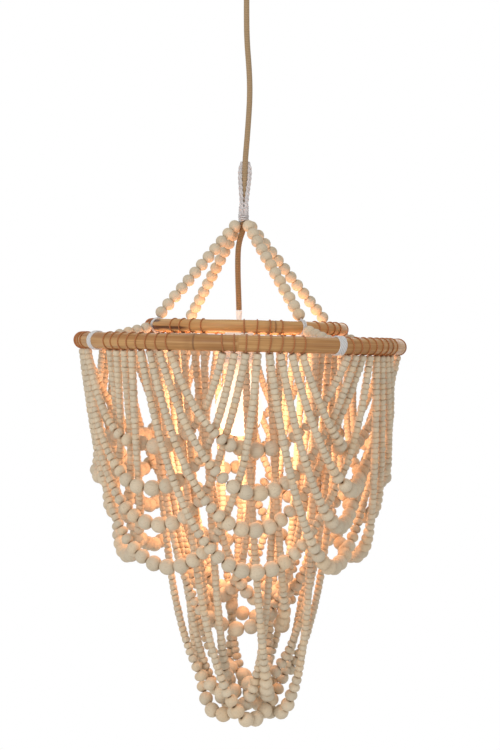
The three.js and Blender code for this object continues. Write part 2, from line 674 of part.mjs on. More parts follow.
function buildLamp() {
  const sleeveFoot = -sleeve.drop - sleeve.length;
  const sleevePin = new THREE.CylinderGeometry(sleeve.radius, sleeve.radius, sleeve.length, lampSides);
  sleevePin.rotateX(Math.PI / 2).translate(0, 0, sleeveFoot + sleeve.length / 2);
  addPiece(lamp, "lead_sleeve", sleevePin, materials.whitePlastic);

  const capTop = sleeveFoot - seatGap;
  const capFoot = capTop - holder.capHeight;
  const { radius, wall, neckRadius } = holder;
  const capLevel = (share) => capTop - holder.capHeight * share;
  const capProfile = [
    [0, capTop], [neckRadius, capTop], [radius * capShares.shoulderRadius, capLevel(capShares.shoulder)],
    [radius, capLevel(capShares.skirt)], [radius, capFoot], [radius - wall, capFoot],
    [radius - wall, capLevel(capShares.skirt)], [0, capLevel(capShares.inside)],
  ];
  addPiece(lamp, "holder_cap", revolved(capProfile, lampSides), materials.whitePlastic);

  const bodyTop = capFoot - seatGap;
  const bodyFoot = bodyTop - holder.bodyHeight;
  const bodyProfile = [
    [radius - wall, bodyTop], [radius, bodyTop], [radius, bodyFoot], [radius - wall, bodyFoot],
  ];
  addPiece(lamp, "holder_body", revolved(bodyProfile, lampSides), materials.whitePlastic);

  const ringBore = (radius + seatGap) / Math.cos(Math.PI / lampSides);
  const ringFoot = bodyFoot + holder.ringRise;
  const ringOuter = ringBore + holderRing.thickness;
  const ringTop = ringFoot + holderRing.height;
  const ringProfile = [
    [ringBore, ringFoot], [ringOuter, ringFoot], [ringOuter, ringTop], [ringBore, ringTop],
  ];
  addPiece(lamp, "holder_ring", revolved(ringProfile, lampSides), materials.whitePlastic);

  const insertRadius = (radius - wall) * Math.cos(Math.PI / lampSides) - seatGap;
  const insertPiece = new THREE.CylinderGeometry(insertRadius, insertRadius, insert.height, lampSides);
  insertPiece.rotateX(Math.PI / 2).translate(0, 0, bodyTop - insert.height / 2);
  addPiece(lamp, "contact_insert", insertPiece, materials.whitePlastic);

  const shellTop = bodyTop - insert.height - seatGap;
  const shellProfile = [
    [screwShell.radius, shellTop], [screwShell.radius + screwShell.wall, shellTop],
    [screwShell.radius + screwShell.wall, shellTop - screwShell.height],
    [screwShell.radius, shellTop - screwShell.height],
  ];
  addPiece(lamp, "screw_shell", revolved(shellProfile, lampSides), materials.brass);

  const bulbTop = shellTop;
  const capEnd = bulbTop - bulb.capHeight;
  const capInside = bulbTop - bulb.contactHeight - bulb.capWall;
  const bulbCapProfile = [
    [0, bulbTop], [bulb.contactRadius, bulbTop], [bulb.capRadius, bulbTop - bulb.contactHeight],
    [bulb.capRadius, capEnd], [bulb.capRadius - bulb.capWall, capEnd],
    [bulb.capRadius - bulb.capWall, capInside], [0, capInside],
  ];
  addPiece(lamp, "bulb_cap", revolved(bulbCapProfile, lampSides), materials.zincSteel);

  const glassTop = capEnd - seatGap;
  const belly = glassTop - glass.height * glass.bellyShare;
  const lowerHeight = glass.height * (1 - glass.bellyShare);
  const { steps } = glass;
  const skin = (wall) => {
    const points = [[glass.neckRadius - wall, glassTop]];
    for (let i = 1; i < steps; i++) {
      const ease = (1 - Math.cos((Math.PI * i) / steps)) / 2;
      const r = glass.neckRadius + (glass.radius - glass.neckRadius) * ease;
      points.push([r - wall, glassTop - (glassTop - belly) * (i / steps)]);
    }
    for (let i = 0; i < steps; i++) {
      const turn = (Math.PI / 2) * (i / steps);
      points.push([(glass.radius - wall) * Math.cos(turn), belly - (lowerHeight - wall) * Math.sin(turn)]);
    }
    points.push([0, belly - lowerHeight + wall]);
    return points;
  };
  const glassProfile = [...skin(0).reverse(), ...skin(glass.wall)];
  addPiece(lamp, "bulb_glass", revolved(glassProfile, lampSides), materials.bulbGlass);
}

buildRose();
buildCord();
buildHoops();
buildTies();
buildStraightStrings();
buildGarlands();
buildLamp();

// Both hoops fall towards +X and the strings stay plumb, so the hung part is sheared, not turned.
swinging.matrixAutoUpdate = false;
swinging.matrix.makeShear(0, -hoopSlope, 0, 0, 0, 0).setPosition(0, 0, hoopSlope * crown.offset);

export default chandelier;
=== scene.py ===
"""Beaded chandelier: wooden bead garlands on two bamboo hoops, hung from a ceiling rose on a fabric cord.

Lengths are millimetres until a piece becomes a mesh, which is in metres. +Z is up, the origin is the
middle of the rose's face against the ceiling, and angles go round from the front (-Y) to +X.
"""

from __future__ import annotations

import logging
import math
from dataclasses import dataclass, field
from enum import Enum
from typing import Any, Callable, Optional, Sequence

import bpy
import numpy as np
from mathutils import Matrix, Vector

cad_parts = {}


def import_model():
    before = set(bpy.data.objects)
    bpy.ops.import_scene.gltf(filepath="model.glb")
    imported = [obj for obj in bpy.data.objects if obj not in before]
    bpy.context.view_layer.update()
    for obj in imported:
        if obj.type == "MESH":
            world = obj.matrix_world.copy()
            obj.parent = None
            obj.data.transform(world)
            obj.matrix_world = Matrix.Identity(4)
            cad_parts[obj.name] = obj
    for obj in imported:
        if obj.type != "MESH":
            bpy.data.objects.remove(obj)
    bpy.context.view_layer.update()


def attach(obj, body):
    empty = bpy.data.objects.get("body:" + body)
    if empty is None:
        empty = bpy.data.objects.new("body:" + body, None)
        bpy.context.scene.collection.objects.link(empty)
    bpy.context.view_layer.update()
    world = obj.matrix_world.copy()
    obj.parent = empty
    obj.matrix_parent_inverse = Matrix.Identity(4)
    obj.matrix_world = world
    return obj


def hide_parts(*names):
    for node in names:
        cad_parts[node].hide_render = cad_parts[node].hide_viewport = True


LOG = logging.getLogger("chandelier")
MM = 0.001
TURN = 2.0 * math.pi
SEAT_GAP = 0.3
UP = np.array([0.0, 0.0, 1.0])


class Body(Enum):
    """The moving groups of the chandelier."""

    CEILING = "ceiling"
    CORD = "cord"
    FRAME = "frame"
    LAMP = "lamp"
    BULB = "bulb"


class Slot(Enum):
    """The finishes that the chandelier's record names."""

    BEAD = "bead_wood"
    BAMBOO = "bamboo"
    WHITE_CORD = "white_cord"
    CORD = "cord_fabric"
    ROSE = "rose_steel"
    ZINC = "zinc_steel"
    BRASS = "brass"
    PLASTIC = "white_plastic"
    GLASS = "bulb_glass"


def unit(v: np.ndarray) -> np.ndarray:
    """Returns v at length one."""
    return v / np.linalg.norm(v)


# ---- The camera and the room ----


@dataclass(frozen=True)
class PhotoCamera:
    """The camera of the photograph, level with the outer hoop."""

    place: tuple[float, float, float] = (4.25, -1875.0, -492.5)
    focal_px: float = 1500.0
    frame_px: tuple[int, int] = (500, 750)
    horizon_px: float = 346.0
    sensor: float = 24.0

    def build(self) -> bpy.types.Object:
        """Adds the camera and makes it the scene's camera.

        Returns:
            The camera object.
        """
        data = bpy.data.cameras.new("photo_camera")
        data.sensor_fit = "VERTICAL"
        data.sensor_height = self.sensor
        data.lens = self.sensor * self.focal_px / self.frame_px[1]
        data.clip_start = 0.05
        data.clip_end = 60.0
        camera = bpy.data.objects.new("photo_camera", data)
        bpy.context.scene.collection.objects.link(camera)
        pitch = math.atan((self.frame_px[1] / 2 - self.horizon_px) / self.focal_px)
        camera.location = Vector(self.place) * MM
        camera.rotation_euler = (math.pi / 2 - pitch, 0.0, 0.0)
        bpy.context.scene.camera = camera
        return camera


@dataclass(frozen=True)
class SoftLamp:
    """A large soft area lamp that points at the chandelier."""

    name: str
    place: tuple[float, float, float]
    size: float
    power: float
    colour: tuple[float, float, float] = (1.0, 1.0, 1.0)
    target: tuple[float, float, float] = (0.0, 0.0, -0.62)

    def build(self) -> bpy.types.Object:
        """Adds the lamp and returns its object."""
        data = bpy.data.lights.new(self.name, "AREA")
        data.shape = "SQUARE"
        data.size = self.size
        data.energy = self.power
        data.color = self.colour
        lamp = bpy.data.objects.new(self.name, data)
        bpy.context.scene.collection.objects.link(lamp)
        lamp.location = self.place
        aim = Vector(self.target) - Vector(self.place)
        lamp.rotation_euler = aim.to_track_quat("-Z", "Y").to_euler()
        return lamp


@dataclass(frozen=True)
class Room:
    """Pale floor, white surroundings and plain soft light."""

    world_strength: float = 0.57
    floor_drop: float = 1.75
    floor_radius: float = 1.5
    lamps: tuple[SoftLamp, ...] = (
        SoftLamp("key_lamp", (-1.3, -2.4, 0.1), 1.8, 31.0),
        SoftLamp("fill_lamp", (2.0, -1.6, -0.4), 2.0, 7.0),
        SoftLamp("back_lamp", (0.4, 2.2, 0.6), 1.8, 12.0),
    )

    def build(self) -> None:
        """Builds the world, the floor and the lamps, and sets the view transform."""
        bpy.context.scene.view_settings.view_transform = "Standard"
        self.dress_world()
        self.lay_floor()
        for lamp in self.lamps:
            lamp.build()

    def dress_world(self) -> None:
        """Lights evenly from all round, and shows plain white behind the object."""
        world = bpy.data.worlds.new("white_room")
        bpy.context.scene.world = world
        world.use_nodes = True
        bench = NodeBench(world.node_tree)
        bench.clear()
        light = bench.add(
            "ShaderNodeBackground", Color=(1.0, 1.0, 1.0, 1.0), Strength=self.world_strength
        )
        white = bench.add("ShaderNodeBackground", Color=(1.0, 1.0, 1.0, 1.0), Strength=1.0)
        mix = bench.add("ShaderNodeMixShader")
        bench.link(bench.seen_rays(), mix.inputs[0])
        bench.link(light.outputs[0], mix.inputs[1])
        bench.link(white.outputs[0], mix.inputs[2])
        bench.link(mix.outputs[0], bench.add("ShaderNodeOutputWorld").inputs[0])

    def lay_floor(self) -> None:
        """Lays a round pale floor that fades out into the white surroundings."""
        sides = 96
        rim = [(math.cos(TURN * i / sides), math.sin(TURN * i / sides)) for i in range(sides)]
        points = [(0.0, 0.0, 0.0)]
        faces: list[tuple[int, ...]] = []
        rows = 8
        for row in range(1, rows + 1):
            r = self.floor_radius * row / rows
            points += [(x * r, y * r, 0.0) for x, y in rim]
        for i in range(sides):
            j = (i + 1) % sides
            faces.append((0, 1 + i, 1 + j))
            for row in range(rows - 1):
                a = 1 + row * sides
                faces.append((a + i, a + sides + i, a + sides + j, a + j))
        mesh = bpy.data.meshes.new("floor")
        mesh.from_pydata(points, [], faces)
        floor = bpy.data.objects.new("floor", mesh)
        floor.location.z = -self.floor_drop
        bpy.context.scene.collection.objects.link(floor)
        material, bench = new_material("pale_floor")
        principled = bench.principled(Roughness=0.9)
        principled.inputs["Base Color"].default_value = (0.94, 0.94, 0.93, 1.0)
        white = bench.add("ShaderNodeEmission", Color=(1.0, 1.0, 1.0, 1.0), Strength=1.0)
        place = bench.add("ShaderNodeTexCoord").outputs["Object"]
        far = bench.add("ShaderNodeVectorMath", "LENGTH")
        bench.link(place, far.inputs[0])
        edge = bench.add("ShaderNodeMapRange", Value=0.0)
        edge.inputs["From Min"].default_value = self.floor_radius * 0.35
        edge.inputs["From Max"].default_value = self.floor_radius * 0.95
        bench.link(far.outputs["Value"], edge.inputs["Value"])
        seen = bench.maths("MULTIPLY", edge.outputs[0], bench.seen_rays())
        mix = bench.add("ShaderNodeMixShader")
        bench.link(seen, mix.inputs[0])
        bench.link(principled.outputs[0], mix.inputs[1])
        bench.link(white.outputs[0], mix.inputs[2])
        bench.output(mix.outputs[0])
        mesh.materials.append(material)


# ---- Shader tools ----


class NodeBench:
    """Places and links the nodes of one node tree."""

    def __init__(self, tree: bpy.types.NodeTree) -> None:
        """Works on the given tree."""
        self.tree = tree

    def clear(self) -> None:
        """Takes every node out of the tree."""
        self.tree.nodes.clear()

    def add(self, kind: str, mode: str = "", **values: Any) -> bpy.types.Node:
        """Adds a node.

        Args:
            kind: The node's type.
            mode: The node's operation or type of texture, where it has one.
            **values: Values for its inputs, by the input's name with underscores for blanks.

        Returns:
            The new node.
        """
        node = self.tree.nodes.new(kind)
        if mode:
            node.operation = mode
        for name, value in values.items():
            node.inputs[name.replace("_", " ")].default_value = value
        return node

    def link(self, source: bpy.types.NodeSocket, target: bpy.types.NodeSocket) -> None:
        """Links an output to an input."""
        self.tree.links.new(source, target)

    def maths(self, mode: str, *terms: Any) -> bpy.types.NodeSocket:
        """Returns the result of a Math node whose terms are sockets or numbers."""
        node = self.add("ShaderNodeMath", mode)
        for slot, term in enumerate(terms):
            if isinstance(term, (int, float)):
                node.inputs[slot].default_value = term
            else:
                self.link(term, node.inputs[slot])
        return node.outputs[0]

    def attribute(self, name: str, out: str) -> bpy.types.NodeSocket:
        """Returns the given output of a mesh attribute."""
        node = self.add("ShaderNodeAttribute")
        node.attribute_name = name
        return node.outputs[out]

    def noise(self, place: bpy.types.NodeSocket, scale: float, detail: float = 2.0) -> bpy.types.NodeSocket:
        """Returns a noise value over the given place."""
        node = self.add("ShaderNodeTexNoise", Scale=scale, Detail=detail)
        self.link(place, node.inputs["Vector"])
        return node.outputs[0]

    def stretched(
        self, place: bpy.types.NodeSocket, scale: tuple[float, float, float]
    ) -> bpy.types.NodeSocket:
        """Returns the place with each axis scaled."""
        node = self.add("ShaderNodeVectorMath", "MULTIPLY")
        node.inputs[1].default_value = scale
        self.link(place, node.inputs[0])
        return node.outputs[0]

    def spread(
        self, value: bpy.types.NodeSocket, low: float, high: float, to_low: float = 0.0,
        to_high: float = 1.0
    ) -> bpy.types.NodeSocket:
        """Returns value moved from the range low to high to the range to_low to to_high, and held there."""
        node = self.add("ShaderNodeMapRange")
        for name, number in (
            ("From Min", low), ("From Max", high), ("To Min", to_low), ("To Max", to_high)
        ):
            node.inputs[name].default_value = number
        self.link(value, node.inputs["Value"])
        return node.outputs[0]

    def blend(self, share: bpy.types.NodeSocket, first: Any, second: Any) -> bpy.types.NodeSocket:
        """Returns a colour between two colours, which are sockets or four numbers."""
        node = self.add("ShaderNodeMix")
        node.data_type = "RGBA"
        self.link(share, node.inputs["Factor"])
        for slot, term in ((6, first), (7, second)):
            if isinstance(term, tuple):
                node.inputs[slot].default_value = term
            else:
                self.link(term, node.inputs[slot])
        return node.outputs[2]

    def group(self, tree: bpy.types.NodeTree, place: bpy.types.NodeSocket, **values: float) -> bpy.types.Node:
        """Places a shared effect at the given place with its own values, and returns its node."""
        node = self.tree.nodes.new("ShaderNodeGroup")
        node.node_tree = tree
        self.link(place, node.inputs["Place"])
        for name, value in values.items():
            node.inputs[name].default_value = value
        return node

    def bump(self, height: bpy.types.NodeSocket, strength: float, distance: float) -> bpy.types.NodeSocket:
        """Returns the normal that a height in metres times distance gives."""
        node = self.add("ShaderNodeBump", Strength=strength, Distance=distance)
        self.link(height, node.inputs["Height"])
        return node.outputs[0]

    def seen_rays(self) -> bpy.types.NodeSocket:
        """Returns 1 for what the camera sees, also in a mirror or through glass."""
        path = self.add("ShaderNodeLightPath")
        seen = self.maths("MAXIMUM", path.outputs["Is Camera Ray"], path.outputs["Is Glossy Ray"])
        return self.maths("MAXIMUM", seen, path.outputs["Is Transmission Ray"])

    def principled(self, **values: Any) -> bpy.types.Node:
        """Adds a Principled shader with the given constant values."""
        return self.add("ShaderNodeBsdfPrincipled", **values)

    def output(self, shader: bpy.types.NodeSocket) -> None:
        """Ends the material in the given shader."""
        self.link(shader, self.add("ShaderNodeOutputMaterial").inputs["Surface"])


def new_material(name: str) -> tuple[bpy.types.Material, NodeBench]:
    """Returns a bare material and the bench of its nodes."""
    material = bpy.data.materials.new(name)
    material.use_nodes = True
    bench = NodeBench(material.node_tree)
    bench.clear()
    return material, bench


def new_group(
    name: str, inputs: dict[str, float], outputs: Sequence[str]
) -> tuple[bpy.types.NodeTree, NodeBench, bpy.types.Node, bpy.types.Node]:
    """Starts a shared shader effect.

    Args:
        name: The group's name.
        inputs: Its number inputs and their defaults; a vector input called Place comes first.
        outputs: Its number outputs.

    Returns:
        The group, its bench, and the nodes that hold its inputs and outputs.
    """
    tree = bpy.data.node_groups.new(name, "ShaderNodeTree")
    tree.interface.new_socket(name="Place", in_out="INPUT", socket_type="NodeSocketVector")
    for label, value in inputs.items():
        socket = tree.interface.new_socket(name=label, in_out="INPUT", socket_type="NodeSocketFloat")
        socket.default_value = value
    for label in outputs:
        tree.interface.new_socket(name=label, in_out="OUTPUT", socket_type="NodeSocketFloat")
    bench = NodeBench(tree)
    return tree, bench, bench.add("NodeGroupInput"), bench.add("NodeGroupOutput")


class Effects:
    """The shader effects that several finishes share."""

    def __init__(self) -> None:
        """Builds the groups once."""
        self.weave = self.build_weave()
        self.twist = self.build_twist()
        self.fleck = self.build_fleck()

    @staticmethod
    def build_weave() -> bpy.types.NodeTree:
        """A round cord's diagonal weave, from a place whose z runs along the cord in metres."""
        tree, bench, source, sink = new_group(
            "cord_weave", {"Strands": 8.0, "Pitch": 0.004}, ["Mask", "Height"]
        )
        parts = bench.add("ShaderNodeSeparateXYZ")
        bench.link(source.outputs["Place"], parts.inputs[0])
        angle = bench.maths("ARCTAN2", parts.outputs[1], parts.outputs[0])
        round_ = bench.maths("MULTIPLY", angle, source.outputs["Strands"])
        along = bench.maths(
            "MULTIPLY", bench.maths("DIVIDE", parts.outputs[2], source.outputs["Pitch"]), TURN
        )
        one = bench.maths("SINE", bench.maths("ADD", round_, along))
        two = bench.maths("SINE", bench.maths("SUBTRACT", round_, along))
        cross = bench.maths("MULTIPLY", one, two)
        bench.link(bench.spread(cross, -0.6, 0.6), sink.inputs["Mask"])
        raised = bench.maths("ABSOLUTE", cross)
        bench.link(bench.maths("POWER", raised, 0.6), sink.inputs["Height"])
        return tree

    @staticmethod
    def build_twist() -> bpy.types.NodeTree:
        """A laid cord's twisted yarns, from a place whose z runs along the cord in metres."""
        tree, bench, source, sink = new_group(
            "cord_twist", {"Yarns": 3.0, "Pitch": 0.006}, ["Mask", "Height"]
        )
        parts = bench.add("ShaderNodeSeparateXYZ")
        bench.link(source.outputs["Place"], parts.inputs[0])
        angle = bench.maths("ARCTAN2", parts.outputs[1], parts.outputs[0])
        round_ = bench.maths("MULTIPLY", angle, source.outputs["Yarns"])
        along = bench.maths(
            "MULTIPLY", bench.maths("DIVIDE", parts.outputs[2], source.outputs["Pitch"]), TURN
        )
        wave = bench.maths("SINE", bench.maths("ADD", round_, along))
        bench.link(bench.spread(wave, -1.0, 0.2), sink.inputs["Mask"])
        bench.link(bench.maths("ABSOLUTE", wave), sink.inputs["Height"])
        return tree

    @staticmethod
    def build_fleck() -> bpy.types.NodeTree:
        """Fine dust and wear: small flecks and slow changes of tone."""
        tree, bench, source, sink = new_group(
            "fleck", {"Size": 0.002, "Spread": 0.03}, ["Fleck", "Drift"]
        )
        for label, out, detail in (("Size", "Fleck", 3.0), ("Spread", "Drift", 1.0)):
            grow = bench.add("ShaderNodeVectorMath", "SCALE")
            bench.link(source.outputs["Place"], grow.inputs[0])
            bench.link(bench.maths("DIVIDE", 1.0, source.outputs[label]), grow.inputs["Scale"])
            value = bench.noise(grow.outputs[0], 1.0, detail)
            bench.link(bench.spread(value, 0.35, 0.68), sink.inputs[out])
        return tree


# ---- Finishes ----

Colour = tuple[float, float, float, float]


@dataclass(frozen=True)
class BeadFinish:
    """Unpolished turned wood with a greyish beige wash, each bead with its own tone and grain, and shade
    painted into its hole.
    """

    pale: Colour = (0.71, 0.585, 0.42, 1.0)
    grey: Colour = (0.595, 0.505, 0.375, 1.0)
    tan: Colour = (0.66, 0.46, 0.265, 1.0)
    pore: Colour = (0.34, 0.21, 0.105, 1.0)
    end_grain: Colour = (0.55, 0.38, 0.22, 1.0)
    # hole: near-black shade painted into the bored hole and its mouth, where light does not reach.
    hole: Colour = (0.06, 0.035, 0.02, 1.0)

    def build(self, effects: Effects) -> bpy.types.Material:
        """Returns the beads' material."""
        material, bench = new_material("washed_bead_wood")
        place = bench.attribute("place", "Vector")
        tone = bench.attribute("tone", "Fac")
        end = bench.attribute("mark", "Fac")
        grain = bench.noise(bench.stretched(place, (900.0, 900.0, 130.0)), 1.0, 3.0)
        cloud = bench.noise(place, 160.0, 2.0)
        colour = bench.blend(bench.spread(tone, 0.15, 0.75), self.grey, self.pale)
        colour = bench.blend(bench.spread(tone, 0.72, 1.0, 0.0, 0.55), colour, self.tan)
        colour = bench.blend(bench.spread(cloud, 0.3, 0.75, 0.0, 0.45), colour, self.grey)
        colour = bench.blend(bench.spread(grain, 0.52, 0.82, 0.0, 0.5), colour, self.pore)
        colour = bench.blend(bench.spread(end, 0.0, 0.4, 0.0, 0.5), colour, self.end_grain)
        # Painted shade: the hole's mouth darkens partway and its inside goes near black.
        colour = bench.blend(bench.spread(end, 0.5, 1.0), colour, self.hole)
        shader = bench.principled(Roughness=0.72)
        shader.inputs["Specular IOR Level"].default_value = 0.3
        bench.link(colour, shader.inputs["Base Color"])
        bench.link(bench.spread(cloud, 0.3, 0.8, 0.62, 0.86), shader.inputs["Roughness"])
        fleck = bench.group(effects.fleck, place, Size=0.0009, Spread=0.008)
        height = bench.maths("ADD", bench.maths("MULTIPLY", grain, 0.6), fleck.outputs["Fleck"])
        bench.link(bench.bump(height, 0.35, 0.00012), shader.inputs["Normal"])
        bench.output(shader.outputs[0])
        return material


@dataclass(frozen=True)
class BambooFinish:
    """Natural bamboo skin: fine straight fibres, darker drifts, brown joints and scorched streaks."""

    name: str = "bamboo_skin"
    pale: Colour = (0.54, 0.30, 0.115, 1.0)
    warm: Colour = (0.385, 0.18, 0.055, 1.0)
    fibre: Colour = (0.25, 0.105, 0.032, 1.0)
    joint: Colour = (0.16, 0.07, 0.025, 1.0)
    scorch: Colour = (0.085, 0.028, 0.008, 1.0)

    def build(self, effects: Effects) -> bpy.types.Material:
        """Returns the poles' material."""
        material, bench = new_material(self.name)
        place = bench.attribute("place", "Vector")
        fibres = bench.noise(bench.stretched(place, (900.0, 900.0, 16.0)), 1.0, 4.0)
        streaks = bench.noise(bench.stretched(place, (190.0, 190.0, 7.0)), 1.0, 2.0)
        drift = bench.noise(bench.stretched(place, (40.0, 40.0, 9.0)), 1.0, 1.0)
        colour = bench.blend(bench.spread(streaks, 0.4, 0.62), self.pale, self.warm)
        colour = bench.blend(bench.spread(fibres, 0.5, 0.72, 0.0, 0.7), colour, self.fibre)
        colour = bench.blend(bench.spread(drift, 0.52, 0.72, 0.0, 0.5), colour, self.fibre)
        mark = bench.attribute("mark", "Fac")
        colour = bench.blend(bench.spread(mark, 0.1, 0.9, 0.0, 0.85), colour, self.joint)
        burn = bench.maths(
            "MULTIPLY", bench.attribute("tone", "Fac"), bench.spread(fibres, 0.25, 0.6, 0.55, 1.0)
        )
        colour = bench.blend(bench.spread(burn, 0.12, 0.55, 0.0, 0.95), colour, self.scorch)
        shader = bench.principled(Roughness=0.5)
        shader.inputs["Specular IOR Level"].default_value = 0.32
        shader.inputs["Coat Weight"].default_value = 0.06
        shader.inputs["Coat Roughness"].default_value = 0.25
        bench.link(colour, shader.inputs["Base Color"])
        fleck = bench.group(effects.fleck, place, Size=0.0015, Spread=0.02)
        bench.link(
            bench.spread(fleck.outputs["Drift"], 0.0, 1.0, 0.42, 0.6), shader.inputs["Roughness"]
        )
        bench.link(bench.bump(fibres, 0.3, 0.0002), shader.inputs["Normal"])
        bench.output(shader.outputs[0])
        return material


@dataclass(frozen=True)
class WovenFinish:
    """Woven cover of a lamp cord."""

    name: str = "woven_tan_cover"
    light: Colour = (0.51, 0.36, 0.21, 1.0)
    dark: Colour = (0.30, 0.20, 0.105, 1.0)
    strands: float = 8.0
    pitch: float = 0.0042

    def build(self, effects: Effects) -> bpy.types.Material:
        """Returns the cord cover's material."""
        material, bench = new_material(self.name)
        place = bench.attribute("place", "Vector")
        weave = bench.group(effects.weave, place, Strands=self.strands, Pitch=self.pitch)
        fleck = bench.group(effects.fleck, place, Size=0.0008, Spread=0.02)
        colour = bench.blend(weave.outputs["Mask"], self.light, self.dark)
        colour = bench.blend(bench.maths("MULTIPLY", fleck.outputs["Fleck"], 0.4), colour, self.dark)
        shader = bench.principled(Roughness=0.9)
        shader.inputs["Sheen Weight"].default_value = 0.2
        shader.inputs["Specular IOR Level"].default_value = 0.2
        bench.link(colour, shader.inputs["Base Color"])
        bench.link(
            bench.spread(fleck.outputs["Drift"], 0.0, 1.0, 0.82, 0.95), shader.inputs["Roughness"]
        )
        bench.link(bench.bump(weave.outputs["Height"], 0.6, 0.0004), shader.inputs["Normal"])
        bench.output(shader.outputs[0])
        return material


@dataclass(frozen=True)
class LaidFinish:
    """Twisted yarn, such as the white rope and ties or the thin brown thread."""

    name: str
    light: Colour
    dark: Colour
    pitch: float
    yarns: float = 3.0
    depth: float = 0.0004

    def build(self, effects: Effects) -> bpy.types.Material:
        """Returns the yarn's material."""
        material, bench = new_material(self.name)
        place = bench.attribute("place", "Vector")
        twist = bench.group(effects.twist, place, Yarns=self.yarns, Pitch=self.pitch)
        fleck = bench.group(effects.fleck, place, Size=0.0007, Spread=0.01)
        colour = bench.blend(bench.spread(twist.outputs["Mask"], 0.0, 0.6), self.dark, self.light)
        colour = bench.blend(bench.maths("MULTIPLY", fleck.outputs["Drift"], 0.35), colour, self.dark)
        shader = bench.principled(Roughness=0.9)
        shader.inputs["Sheen Weight"].default_value = 0.25
        shader.inputs["Specular IOR Level"].default_value = 0.2
        bench.link(colour, shader.inputs["Base Color"])
        bench.link(
            bench.spread(fleck.outputs["Fleck"], 0.0, 1.0, 0.82, 0.96), shader.inputs["Roughness"]
        )
        bench.link(bench.bump(twist.outputs["Height"], 0.6, self.depth), shader.inputs["Normal"])
        bench.output(shader.outputs[0])
        return material


@dataclass(frozen=True)
class HardFinish:
    """Painted, plated or moulded surface with fine unevenness."""

    name: str
    colour: Colour
    worn: Colour
    roughness: tuple[float, float]
    metallic: float = 0.0
    grain: float = 0.0015
    depth: float = 0.00004

    def build(self, effects: Effects) -> bpy.types.Material:
        """Returns the surface's material."""
        material, bench = new_material(self.name)
        place = bench.attribute("place", "Vector")
        fleck = bench.group(effects.fleck, place, Size=self.grain, Spread=self.grain * 12.0)
        share = bench.maths("MULTIPLY", fleck.outputs["Drift"], 0.5)
        colour = bench.blend(share, self.colour, self.worn)
        shader = bench.principled(Metallic=self.metallic)
        bench.link(colour, shader.inputs["Base Color"])
        low, high = self.roughness
        bench.link(
            bench.spread(fleck.outputs["Fleck"], 0.0, 1.0, low, high), shader.inputs["Roughness"]
        )
        bench.link(bench.bump(fleck.outputs["Fleck"], 0.25, self.depth), shader.inputs["Normal"])
        bench.output(shader.outputs[0])
        return material


@dataclass(frozen=True)
class GlowFinish:
    """Frosted bulb glass, lit warm from inside."""

    glow: Colour = (1.0, 0.84, 0.70, 1.0)
    neck: Colour = (1.0, 0.62, 0.40, 1.0)
    strength: float = 1.0

    def build(self, effects: Effects) -> bpy.types.Material:
        """Returns the bulb's material."""
        material, bench = new_material("lit_frosted_glass")
        place = bench.attribute("place", "Vector")
        fleck = bench.group(effects.fleck, place, Size=0.001, Spread=0.02)
        shader = bench.principled(Roughness=0.35)
        shader.inputs["Base Color"].default_value = (0.5, 0.44, 0.36, 1.0)
        shader.inputs["Emission Strength"].default_value = self.strength
        bench.link(
            bench.spread(fleck.outputs["Fleck"], 0.0, 1.0, 0.3, 0.42), shader.inputs["Roughness"]
        )
        lit = bench.spread(bench.attribute("mark", "Fac"), 0.0, 1.0)
        bench.link(bench.blend(lit, self.glow, self.neck), shader.inputs["Emission Color"])
        bench.output(shader.outputs[0])
        return material


class Finishes:
    """Every finish of the chandelier, built once."""

    def __init__(self) -> None:
        """Builds the shared effects and the materials."""
        effects = Effects()
        self.bead = BeadFinish().build(effects)
        self.bamboo = BambooFinish().build(effects)
        self.pale_bamboo = BambooFinish(
            "pale_bamboo_skin", (0.66, 0.40, 0.165, 1.0), (0.50, 0.26, 0.09, 1.0),
            (0.33, 0.15, 0.05, 1.0)
        ).build(effects)
        self.woven = WovenFinish().build(effects)
        brown_cover = WovenFinish("woven_brown_cover", (0.42, 0.26, 0.125, 1.0), (0.22, 0.12, 0.05, 1.0))
        self.lead = brown_cover.build(effects)
        self.thread = LaidFinish(
            "rust_brown_thread", (0.50, 0.19, 0.065, 1.0), (0.30, 0.10, 0.03, 1.0), 0.0024, 2.0, 0.0002
        ).build(effects)
        # The crown rope is the ties' white cord made darker: shade painted onto the knotted rope.
        self.rope = LaidFinish(
            "white_rope_painted_shade", (0.70, 0.665, 0.655, 1.0), (0.50, 0.455, 0.44, 1.0), 0.007, 2.0, 0.0003
        ).build(effects)
        self.tie = LaidFinish(
            "white_tie_cord", (0.80, 0.785, 0.77, 1.0), (0.52, 0.49, 0.47, 1.0), 0.0036, 3.0, 0.0004
        ).build(effects)
        self.paint = HardFinish(
            "off_white_paint", (0.80, 0.79, 0.76, 1.0), (0.74, 0.72, 0.68, 1.0), (0.38, 0.5)
        ).build(effects)
        self.zinc = HardFinish(
            "zinc_plate", (0.58, 0.585, 0.59, 1.0), (0.42, 0.42, 0.41, 1.0), (0.28, 0.45), 1.0, 0.004
        ).build(effects)
        self.brass = HardFinish(
            "satin_brass", (0.62, 0.43, 0.17, 1.0), (0.45, 0.29, 0.10, 1.0), (0.25, 0.4), 1.0, 0.003
        ).build(effects)
        self.plastic = HardFinish(
            "white_plastic", (0.86, 0.85, 0.81, 1.0), (0.80, 0.78, 0.73, 1.0), (0.3, 0.42), 0.0, 0.001
        ).build(effects)
        self.glass = GlowFinish().build(effects)


# ---- Meshes ----


